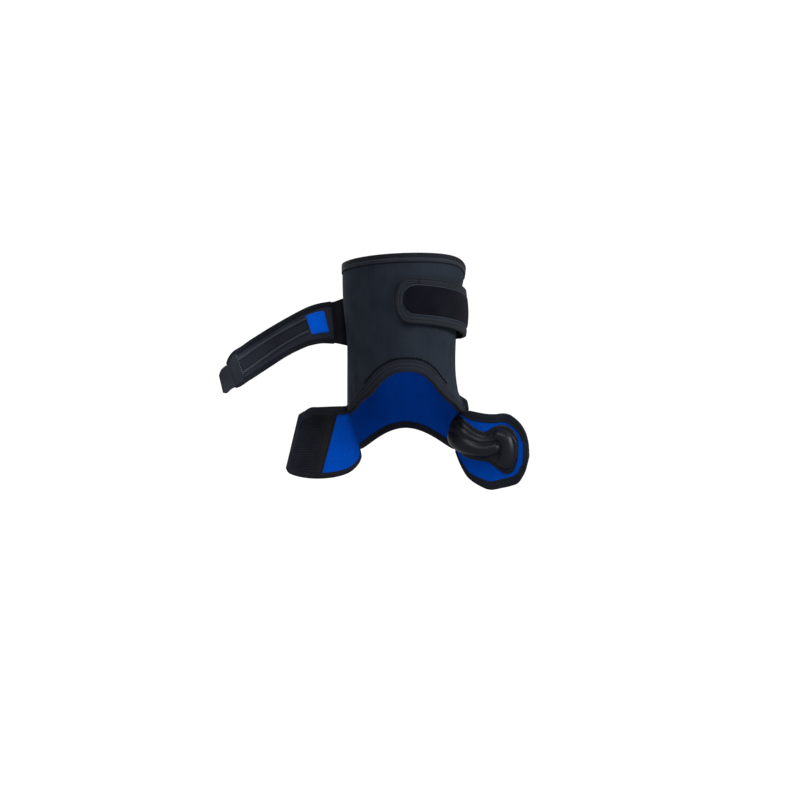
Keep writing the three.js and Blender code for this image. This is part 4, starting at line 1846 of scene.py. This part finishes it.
@dataclass
class HookPanel:
    """The hook-tape panel of the left wing with its slanted smooth border.

    Attributes:
        wing: The lined face that it lies on.
        outward: Direction on the wing's outer side.
        height: Height of the panel.
        border: Share of the panel that the smooth border takes.
        size: Length and width of the panel.
    """

    wing: Surface
    outward: Array
    height: float = 0.5
    border: float = 0.24
    size: tuple[float, float] = (36.0, 63.0)

    def build(self) -> None:
        """Makes the ribbed panel, the border and the stitches."""
        overlap, lift, rounding = 0.02, 0.2, 0.8
        line_ends, line_insets, line_lift = 0.02, (0.04, 0.03), 0.3
        ground = laid_on(self.wing, HOOK_PANEL, self.outward)
        kinds = (
            ("hook_face", self.border, 1.0, self.height, HOOK),
            ("hook_border", 0.0, self.border + overlap, self.height + lift, HOOK_EDGE),
        )
        pieces, grids = [], []
        for name, low, high, height, finish in kinds:
            share, v = mesh_grid(60, 80)
            here, normal = ground(low + (high - low) * share, v)
            size = (self.size[0] * (high - low), self.size[1])
            grid = here + normal * panel_height(share, v, size, height, rounding)[..., None]
            pieces.append(dress(sheet_object(name, grid, flip=True), finish))
            grids.append(grid)
        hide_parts("hook_panel")
        v = np.linspace(line_ends, 1 - line_ends, 60)
        rows = []
        for u_line in (line_insets[0], self.border - line_insets[1]):
            here, normal = ground(np.full_like(v, u_line), v)
            rows.append((PLAIN_STITCH, here + normal * (self.height + line_lift), normal))
        stitches = dress(thread_object("hook_stitches", rows), DARK_THREAD)


def lobe_height(x: Array, z: Array, lobes: Sequence[Lobe]) -> Array:
    """Height of a rounded roll that follows a line of lobes.

    The height falls from the line to the roll's radius as a half ellipse does.

    Args:
        x: Seen places across.
        z: Seen heights.
        lobes: The line's points with the roll's radius and height.

    Returns:
        The heights.
    """
    fine = table_curve([(i, *lobe) for i, lobe in enumerate(lobes)])(np.linspace(0, len(lobes) - 1, 60))
    off = np.stack([x, z], axis=-1)[..., None, :] - fine[:, :2]
    ratio = np.linalg.norm(off, axis=-1) / fine[:, 2]
    return (fine[:, 3] * np.sqrt(np.clip(1 - ratio**2, 0, 1))).max(axis=-1)


@dataclass
class Buttress:
    """The J-shaped pad: a sewn flange and the raised pad with its roll, tube and head.

    Attributes:
        wing: The lined face that it lies on.
        outward: Direction on the wing's outer side.
        flange: Height of the flange.
        base: Height of the pad between its rolls.
        size: Length and width of the flange.
        rim_round: Width of the flange's rounded edge.
        inner_u: First and last share of the raised pad along the flange.
        inner_v: First and last share of it across the flange.
        inner_size: Length and width of the raised pad.
        inner_round: Width of its rounded edge.
        blend: How sharply the rolls meet.
        fill: Share of the space under the pad that is filled; not used.
    """

    wing: Surface
    outward: Array
    flange: float = 1.6
    base: float = 3.6
    size: tuple[float, float] = (72.0, 38.0)
    rim_round: float = 3.0
    inner_u: tuple[float, float] = (0.01, 0.97)
    inner_v: tuple[float, float] = (0.1, 0.9)
    inner_size: tuple[float, float] = (69.0, 30.0)
    inner_round: float = 5.0
    blend: float = 4.0
    fill: float = 0.9

    def build(self) -> None:
        """Makes the flange, the pad and the stitches round the flange."""
        laid = laid_on(self.wing, BUTTRESS, self.outward)
        u, v = mesh_grid(120, 70)
        spot = ruled(BUTTRESS)(u, v)
        ground, normal = laid(u, v)
        rim = panel_height(u, v, self.size, 1.0, self.rim_round)
        flange = ground + normal * (self.flange * rim)[..., None]
        rolls = (PAD_TUBE, PAD_ROLL, PAD_HEAD, PAD_ROOT)
        rise = [lobe_height(spot[..., 0], spot[..., 2], lobes) for lobes in rolls]
        low, high = np.array([self.inner_u, self.inner_v]).T
        along, across = (np.clip((at - low[i]) / (high[i] - low[i]), 0, 1) for i, at in enumerate((u, v)))
        inner = np.clip(panel_height(along, across, self.inner_size, 1.0, self.inner_round), 0, 1)
        powers = [part**self.blend for part in (*rise, self.base * inner)]
        raised = sum(powers) ** (1 / self.blend)
        flange_share = 0.6
        pad = ground + normal * (raised * np.sqrt(inner) + flange_share * self.flange * rim)[..., None]
        skirt = dress(sheet_object("buttress_rim", flange, flip=True), PAD, "buttress_flange")
        dome = dress(sheet_object("buttress_dome", pad, flip=True), PAD, "buttress_pad")
        line_inset, line_sunk = 0.045, 0.1
        row = border_line(laid, line_inset, self.flange - line_sunk, (110, 50))
        dress(thread_object("buttress_stitches", [(PLAIN_STITCH, *row)]), DARK_THREAD)


@dataclass
class FrontArm:
    """The round-ended strap arm on the front right of the cuff with its tape and loop panel.

    Attributes:
        width: Width of the strap.
        tip: Angle of the round end.
        join: Angle where it runs into the back strap.
        round: Length of the round end.
        power: How square the round end is.
        tape: Width of the edge tape.
        panel_inset: Distance from the edge to the loop panel.
        panel_shift: How far the panel is set towards the tip and up.
        panel: Height of the loop panel.
        overlap: Angle from the tip to where the tape's ends overlap.
        dents: Insets of the stitched lines on the tape.
        join_rows: Distances of the stitched lines from the join.
        join_span: Half length of those lines as a share of the width.
    """

    width: float = 49.4
    tip: float = -4.6
    join: float = 110.0
    round: float = 17.0
    power: float = 2.3
    tape: float = 6.4
    panel_inset: float = 8.6
    panel_shift: tuple[float, float] = (-1.5, -1.0)
    panel: float = 1.3
    overlap: float = 19.0
    dents: tuple[float, float] = (2.6, 5.4)
    join_rows: tuple[float, float] = (4.0, 8.0)
    join_span: float = 0.46

    @property
    def girth(self) -> float:
        """Distance along the strap for each degree.

        Returns:
            Millimetres for a degree.
        """
        return math.radians(1) * float(CUFF_CURVE(np.array(STRAP_COURSE[0].mid_z))[3] + WALL)

    @property
    def length(self) -> float:
        """Length of the arm from its tip.

        Returns:
            The length.
        """
        return (self.join - self.tip) * self.girth

    def place(self, s: Array, t: Array, level: Array | float) -> Array:
        """A point of the strap from its flat shape, which is wrapped round the cuff with the course's slack.

        Args:
            s: Distance from the tip.
            t: Distance down from the middle line.
            level: Distance out from the strap's inside face.

        Returns:
            The points.
        """
        angle = self.tip + np.asarray(s, float) / self.girth
        course = STRAP_CURVE(angle)
        z = course[..., 0] - t
        top = course[..., 0] + self.width / 2
        bearing = top + (z - top) * course[..., 2]
        bow = STRAP_BOW.at(angle) * np.cos(math.pi * np.asarray(t) / self.width)
        point = CUFF.point(angle, bearing, WALL + course[..., 1] + bow + level)
        point[..., 2] = z
        return point

    def half(self, s: Array, inset: float) -> Array:
        """Half width of the arm at a distance from its tip, with a superellipse for the round end.

        Args:
            s: Distance from the inset tip.
            inset: How far the outline is drawn in.

        Returns:
            The half widths.
        """
        past = 1 - np.clip(s / self.round, 0, 1)
        return (self.width / 2 - inset) * (1 - past**self.power) ** (1 / self.power)

    def grid(self, inset: float, level: Callable[[Array, Array], Array], counts: tuple[int, int]) -> Array:
        """Points of the arm drawn in by an inset.

        Args:
            inset: How far the outline is drawn in.
            level: Level for shares along and across.
            counts: Points along and across.

        Returns:
            The points.
        """
        crowding = 1.6
        s = np.linspace(0, 1, counts[0]) ** crowding * (self.length - inset)
        across = np.linspace(-1, 1, counts[1])
        t = self.half(s, inset)[:, None] * across
        shift_s, shift_t = self.panel_shift if inset else (0.0, 0.0)
        along = s[:, None] + 0 * t
        return self.place(along + inset + shift_s, t + shift_t, level(along, across + 0 * t))

    def rim(self, inset: float) -> Array:
        """The outline at an inset: along the top edge to the tip and back along the low edge.

        Args:
            inset: How far the outline is drawn in.

        Returns:
            Pairs of s and t.
        """
        turn = np.linspace(0, math.pi / 2, 40)[1:]
        corner_s = self.round * (1 - np.cos(turn) ** (2 / self.power))
        corner_t = np.sin(turn) ** (2 / self.power)
        straight = np.linspace(self.round, self.length - inset, 70)[1:]
        s = np.concatenate([[0.0], corner_s, straight])
        t = np.concatenate([[0.0], corner_t, np.ones_like(straight)]) * (self.width / 2 - inset)
        top, low = np.stack([s + inset, -t], axis=-1), np.stack([s + inset, t], axis=-1)
        return np.vstack([top[::-1], low[1:]])

    def stitched(self, s: Array, t: Array, level: float) -> tuple[Array, Array]:
        """A stitched line on the arm, with the cloth's normals along it.

        Args:
            s: Distances from the tip.
            t: Distances down from the middle line.
            level: Distance out from the strap's inside face.

        Returns:
            The line's points and normals.
        """
        line = self.place(s, t, level)
        return line, unit(self.place(s, t, level + 1.0) - line)

    def build(self) -> None:
        """Makes the strap, its tape, the loop panel and the stitches."""
        strap_far = self.grid(0.0, lambda s, a: 0 * s + STRAP, (110, 26))
        strap_near = self.grid(0.0, lambda s, a: 0 * s, (110, 26))
        strap = dress(wall_object("front_arm", strap_near, strap_far), NEOPRENE, "front_strap")
        profile = tape_profile(STRAP, self.tape, self.tape, self.dents)
        outer = self.rim(0.0)
        goal = np.stack([np.maximum(outer[:, 0], self.round), np.zeros(len(outer))], axis=-1)
        far = np.maximum(np.linalg.norm(goal - outer, axis=-1), 1.0)
        rings = []
        for inset, level in profile:
            flat = outer + (goal - outer) * (inset / far)[:, None]
            rings.append(self.place(*flat.T, level))
        rim = sheet_object("front_arm_tape", np.stack(rings, axis=1))
        tape = dress(rim, STRAP_TRIM, "front_strap_binding")
        rows = []
        for dent in self.dents:
            flat = outer + (goal - outer) * (dent / far)[:, None]
            rows.append((PLAIN_STITCH, *self.stitched(*flat.T, STRAP + TAPE - STITCH_DIP)))
        cord_inset, cord_lift = 0.3, 0.35
        ring = self.rim(self.panel_inset - cord_inset) + self.panel_shift
        rows.append((CORD, *self.stitched(*ring.T, STRAP + cord_lift)))
        across = self.join_span * np.linspace(-1, 1, 40) * self.width
        for back in self.join_rows:
            along = np.full_like(across, self.length - back)
            rows.append((PLAIN_STITCH, *self.stitched(along, across, STRAP + self.panel)))
        stitches = dress(thread_object("front_arm_stitches", rows), THREAD)
        lap_ends = (0.6, 0.4)
        lap = np.linspace(lap_ends[0], self.tape - lap_ends[1], 20) - self.width / 2
        tick = self.stitched(np.full_like(lap, self.overlap * self.girth), lap, STRAP + TAPE)
        overlap = dress(thread_object("front_arm_lap", [(LAP_STITCH, *tick)]), DARK_THREAD)
        inner_width = self.width - 2 * self.panel_inset
        pile_round, pile_sunk = 1.6, 0.2

        def pile(s: Array, across: Array) -> Array:
            edge = np.minimum(s, (1 - np.abs(across)) * inner_width / 2)
            near = np.clip(edge / pile_round, 0, 1)
            return STRAP + self.panel * np.sqrt(1 - (1 - near) ** 2) - pile_sunk

        loops = self.grid(self.panel_inset, pile, (120, 60))
        panel = dress(sheet_object("loop_face", loops), LOOP, "loop_panel")


@dataclass
class BackStrap:
    """The elastic stretch of the strap behind the cuff, which leaves it on the left to meet the free arm.

    Attributes:
        width: Width of the strap.
        start: Angle where it takes over from the front arm.
        leaves: Angle where it leaves the cuff.
        reference: Width that the slack is measured for.
        gain: How much wider it gets by the place where it leaves.
        lap: How far it reaches under the free arm.
        clear: Distance between it and the free arm.
        drop: Share of the free stretch after which it turns to the arm's height.
        fold: Height of its folds.
        turns: How far the folds turn over the free stretch, in radians.
    """

    width: float = 50.0
    start: float = 107.0
    leaves: float = 207.0
    reference: float = 47.0
    gain: float = 6.0
    lap: float = 1.2
    clear: float = 0.3
    drop: float = 0.62
    fold: float = 1.9
    turns: float = 22.0

    def build(self) -> None:
        """Makes the strap with a few soft folds where it leaves the cuff."""
        rows = np.linspace(0, 1, 30)
        angle = np.linspace(self.start, self.leaves, 90)[:, None]
        course = STRAP_CURVE(angle)
        spread = self.width + self.gain * ease(180.0, self.leaves, angle)
        z = course[..., 0] + (0.5 - rows) * spread
        top = course[..., 0] + self.reference / 2
        bearing = top + (z - top) * course[..., 2]
        meet = FREE_ARM[0]
        end_z = meet.top_z + (meet.low_z - meet.top_z) * rows
        end_x = meet.top_x + (meet.low_x - meet.top_x) * rows - self.lap
        run = np.linspace(0, 1, 26)[1:, None]
        fall = ease(self.drop, 1.0, run)
        fold = self.fold * np.sin(run * self.turns) * np.sin(math.pi * run)
        grids = []
        for level in (0.0, STRAP):
            ring = CUFF.point(np.broadcast_to(angle, z.shape), bearing, WALL + course[..., 1] + level)
            ring[..., 2] = z
            end = np.stack([end_x, np.full_like(rows, meet.top_y + self.clear + level), end_z], axis=-1)
            leave = ring[-1] * (1 - run[..., None]) + end * run[..., None]
            leave[..., 1] += fold
            leave[..., 2] = ring[-1, :, 2] * (1 - fall) + end_z * fall
            grids.append(np.vstack([ring, leave]))
        strap = dress(wall_object("back_band", *grids), ELASTIC, "back_strap")


@dataclass
class FreeArm:
    """The free strap arm on the left with its tape, blue square, hook strip, raised edges and pull tab.

    Attributes:
        tape: Width of the edge tape.
        seam: Share along the arm of the seam before its end, on the middle line.
        slant: Change of that share from the arm's top edge to its low edge.
        lean: Change of share along from the blue square's top edge to its low edge.
        corner: Share of the blue square's ends that its round corners take off.
        pinch: Share across that the hook strip loses at the blue square.
        rim_start: Share along the arm where the tape starts.
        spine: Share along the arm where the tape's insets turn towards one point.
        dent: Inset of the tape's stitched line.
        tab_size: Length and width of the pull tab.
        tab_half: Half thickness of the tab.
        tab_round: Width of its rounded edge.
        tab_edge: Half thickness that it keeps at its edge.
    """

    tape: float = 5.0
    seam: float = 0.792
    slant: float = 0.04
    lean: float = -0.03
    corner: float = 0.16
    pinch: float = 0.08
    rim_start: float = 0.005
    spine: float = 0.9
    dent: float = 3.4
    tab_size: tuple[float, float] = (14.0, 28.0)
    tab_half: float = 0.8
    tab_round: float = 1.0
    tab_edge: float = 0.3

    def part(self, face: Surface, spans: tuple[float, float, float, float], pinch: float = 0.0) -> Ground:
        """A stretch of the arm's front, whose ends follow the seam the more the nearer they are to it.

        Args:
            face: The arm's front face.
            spans: First and last share along and across.
            pinch: Share across that the low side is drawn up at the stretch's start.

        Returns:
            A function from shares of the stretch to points of the arm and its front normals.
        """
        u0, u1, v0, v1 = spans
        pinch_reach, pinch_span, slant_reach = 0.9, (0.2, 0.75), 0.15

        def read(u: Array, v: Array) -> tuple[Array, Array]:
            along, across = u0 + (u1 - u0) * u, v0 + (v1 - v0) * v
            across = across - pinch * (1 - ease(0.0, pinch_reach, u)) * ease(*pinch_span, across)
            along = along + self.slant * (across - 0.5) * bell(along, self.seam, slant_reach)
            return face(along, across), -normals_of(face, along, across, BACKWARDS)

        return read

    def square(self, face: Surface) -> Ground:
        """The blue square's ground: a leaning patch with round corners.

        Args:
            face: The arm's front face.

        Returns:
            A function from shares of the square to points of the arm and its front normals.
        """
        u0, u1, v0, v1 = SQUARE
        corner_power = 16

        def read(u: Array, v: Array) -> tuple[Array, Array]:
            kept = 1 - self.corner * np.abs(2 * u - 1) ** corner_power
            across = (v0 + v1) / 2 + (v1 - v0) * (v - 0.5) * kept
            along = u0 + (u1 - u0) * u + self.lean * (v - 0.5)
            return face(along, across), -normals_of(face, along, across, BACKWARDS)

        return read

    def build(self) -> None:
        """Makes the arm, its tape, what is laid on it, the stitches and the pull tab."""
        face = ruled(FREE_ARM)
        u, v = mesh_grid(110, 40)
        near = face(u, v)
        far = near + calm_normals(face, u, v, BACKWARDS) * STRAP
        arm = dress(wall_object("side_arm", near, far), ARM_KNIT, "side_strap")
        rim = RimTape(face, BACKWARDS, STRAP, self.tape, self.spine, self.dent)
        trim = rim.build("side_arm", open_rim(self.rim_start), BINDING, "side_strap_binding")
        laid = (
            ("arm_square", SQUARE, 1.0, 1.0, BLUE_SQUARE, "strap_lining"),
            ("arm_hooks", (0.235, 0.785, 0.335, 0.645), 0.9, 0.8, HOOK_STRIP, "hook_strip"),
            # The two raised ribs take the lighter colour of painted highlight
            ("arm_upper_edge", (0.235, 0.79, 0.225, 0.325), 1.7, 1.9, ARM_RIB_HIGHLIGHT, "upper_rib"),
            ("arm_lower_edge", (0.235, 0.79, 0.655, 0.755), 1.7, 1.9, ARM_RIB_HIGHLIGHT, "lower_rib"),
            ("arm_end", (self.seam, 1.0, 0.04, 0.96), 0.9, 0.9, TAB_KNIT, ""),
        )
        for name, spans, height, rounding, finish, node in laid:
            share, across = mesh_grid(110, 26)
            ground = self.part(face, spans, self.pinch if node in RIBBED else 0.0)
            here, normal = (self.square(face) if spans is SQUARE else ground)(share, across)
            size = (path_length(here[:, here.shape[1] // 2]), path_length(here[here.shape[0] // 2]))
            grid = here + normal * panel_height(share, across, size, height, rounding)[..., None]
            piece = dress(sheet_object(name, grid, flip=True), finish, *([node] if node else []))
            if min(size) > NARROW:
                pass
            else:
                trim.append(piece)
        seam_span, seam_lift, line_inset, line_lift = (0.1, 0.76), 1.2, 0.06, 0.9
        across = np.linspace(0.0, 1.0, 30)
        here, normal = self.part(face, (self.seam, self.seam, *seam_span))(np.zeros_like(across), across)
        seam = [(ARM_SEAM, here + normal * seam_lift, normal)]
        trim.append(dress(thread_object("arm_seam", seam), SEAM_THREAD))
        row = border_line(self.square(face), line_inset, line_lift, (20, 20))
        trim.append(dress(thread_object("arm_stitches", [(PLAIN_STITCH, *row)]), THREAD))
        self.build_tab()

    def build_tab(self) -> None:
        """Makes the pull tab."""
        face = ruled(PULL_TAB)
        share, across = mesh_grid(30, 30)
        round_half = panel_height(share, across, self.tab_size, self.tab_half, self.tab_round)
        normal = normals_of(face, share, across, BACKWARDS)
        middle = face(share, across) + normal * self.tab_half
        half = normal * (round_half + self.tab_edge)[..., None]
        tab = dress(wall_object("tab", middle - half, middle + half), TAB_KNIT, "pull_tab")


@dataclass
class Studio:
    """The white room, the soft lights and the camera.

    Attributes:
        floor: Height of the floor, in metres.
        radius: Radius of the room.
        glow: Light that the room itself gives.
        sky: Light that the world gives.
        camera: Place of the camera.
        lens: Its lens in millimetres.
    """

    floor: float = -0.22
    radius: float = 5.0
    glow: float = 1.0
    sky: float = 0.9
    camera: tuple[float, float, float] = (-0.00456, -1.9, 0.0)
    lens: float = 75.0

    def room(self) -> None:
        """Makes a round room whose floor sweeps up into its wall by a quarter circle."""
        bend, height = 2.0, 4.0
        turn = np.linspace(0, math.pi / 2, 24)
        flat = np.linspace(0.001, self.radius - bend, 12)
        r = np.concatenate([flat, self.radius - bend + bend * np.sin(turn), [self.radius]])
        z = np.concatenate([np.zeros_like(flat), bend * (1 - np.cos(turn)), [height]]) + self.floor
        angle = np.linspace(0, 2 * math.pi, 96, endpoint=False)[:, None]
        grid = np.stack([r * np.cos(angle), r * np.sin(angle), z + 0 * angle], axis=-1) / METRES
        room = sheet_object("room", grid, closed=True)
        material = bpy.data.materials.new("room_white")
        material.use_nodes = True
        shader = material.node_tree.nodes["Principled BSDF"]
        shader.inputs["Base Color"].default_value = (0.05, 0.05, 0.05, 1.0)
        shader.inputs["Roughness"].default_value = 0.9
        shader.inputs["Specular IOR Level"].default_value = 0.0
        shader.inputs["Emission Color"].default_value = (1.0, 1.0, 1.0, 1.0)
        shader.inputs["Emission Strength"].default_value = self.glow
        room.data.materials.append(material)

    def light(self, name: str, place: tuple[float, float, float], size: float, power: float) -> None:
        """Adds a soft square light that faces the object.

        Args:
            name: Its name.
            place: Where it is.
            size: Length of its side.
            power: Its power in watts.
        """
        data = bpy.data.lights.new(name, "AREA")
        data.shape = "SQUARE"
        data.size = size
        data.energy = power
        lamp = bpy.data.objects.new(name, data)
        lamp.location = place
        lamp.rotation_euler = (-lamp.location).to_track_quat("-Z", "Y").to_euler()
        bpy.context.scene.collection.objects.link(lamp)

    def build(self) -> None:
        """Makes the room, the lights, the world and the camera."""
        scene = bpy.context.scene
        scene.view_settings.view_transform = "Standard"
        world = bpy.data.worlds.new("world")
        world.use_nodes = True
        background = world.node_tree.nodes["Background"]
        background.inputs["Color"].default_value = (1.0, 1.0, 1.0, 1.0)
        background.inputs["Strength"].default_value = self.sky
        scene.world = world
        self.room()
        self.light("key", (2.7, -1.2, 1.5), size=0.9, power=180.0)
        self.light("top", (-0.3, -1.5, 2.3), size=0.55, power=48.0)
        self.light("back", (-1.4, 2.6, 1.5), size=1.0, power=60.0)
        data = bpy.data.cameras.new("camera")
        data.lens = self.lens
        data.sensor_width = 36.0
        data.clip_end = 50.0
        camera = bpy.data.objects.new("camera", data)
        camera.location = self.camera
        camera.rotation_euler = (math.pi / 2, 0.0, 0.0)
        scene.collection.objects.link(camera)
        scene.camera = camera


def main() -> None:
    """Builds the whole scene."""
    logging.basicConfig(level=logging.INFO, format="%(name)s %(message)s")
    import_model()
    weave_group()
    mottle_group()
    for finish in FINISHES:
        finish.build()
    Studio().build()
    Cuff().build()
    left_widths = TapeWidths(top_loss=0.64, low_loss=0.5, low_share=0.7)
    right_widths = TapeWidths(top_loss=0.7, low_loss=0.8, end_gain=0.22)
    left = Wing("left_wing", LEFT_WING, tape=8.6, low_shade=0.7, widths=left_widths)
    right = Wing("right_wing", RIGHT_WING, tape=9.0, low_shade=0.2, widths=right_widths)
    HookPanel(left.build(), left.outward).build()
    Buttress(right.build(), right.outward).build()
    FrontArm().build()
    BackStrap().build()
    FreeArm().build()


if __name__ == "__main__":
    main()
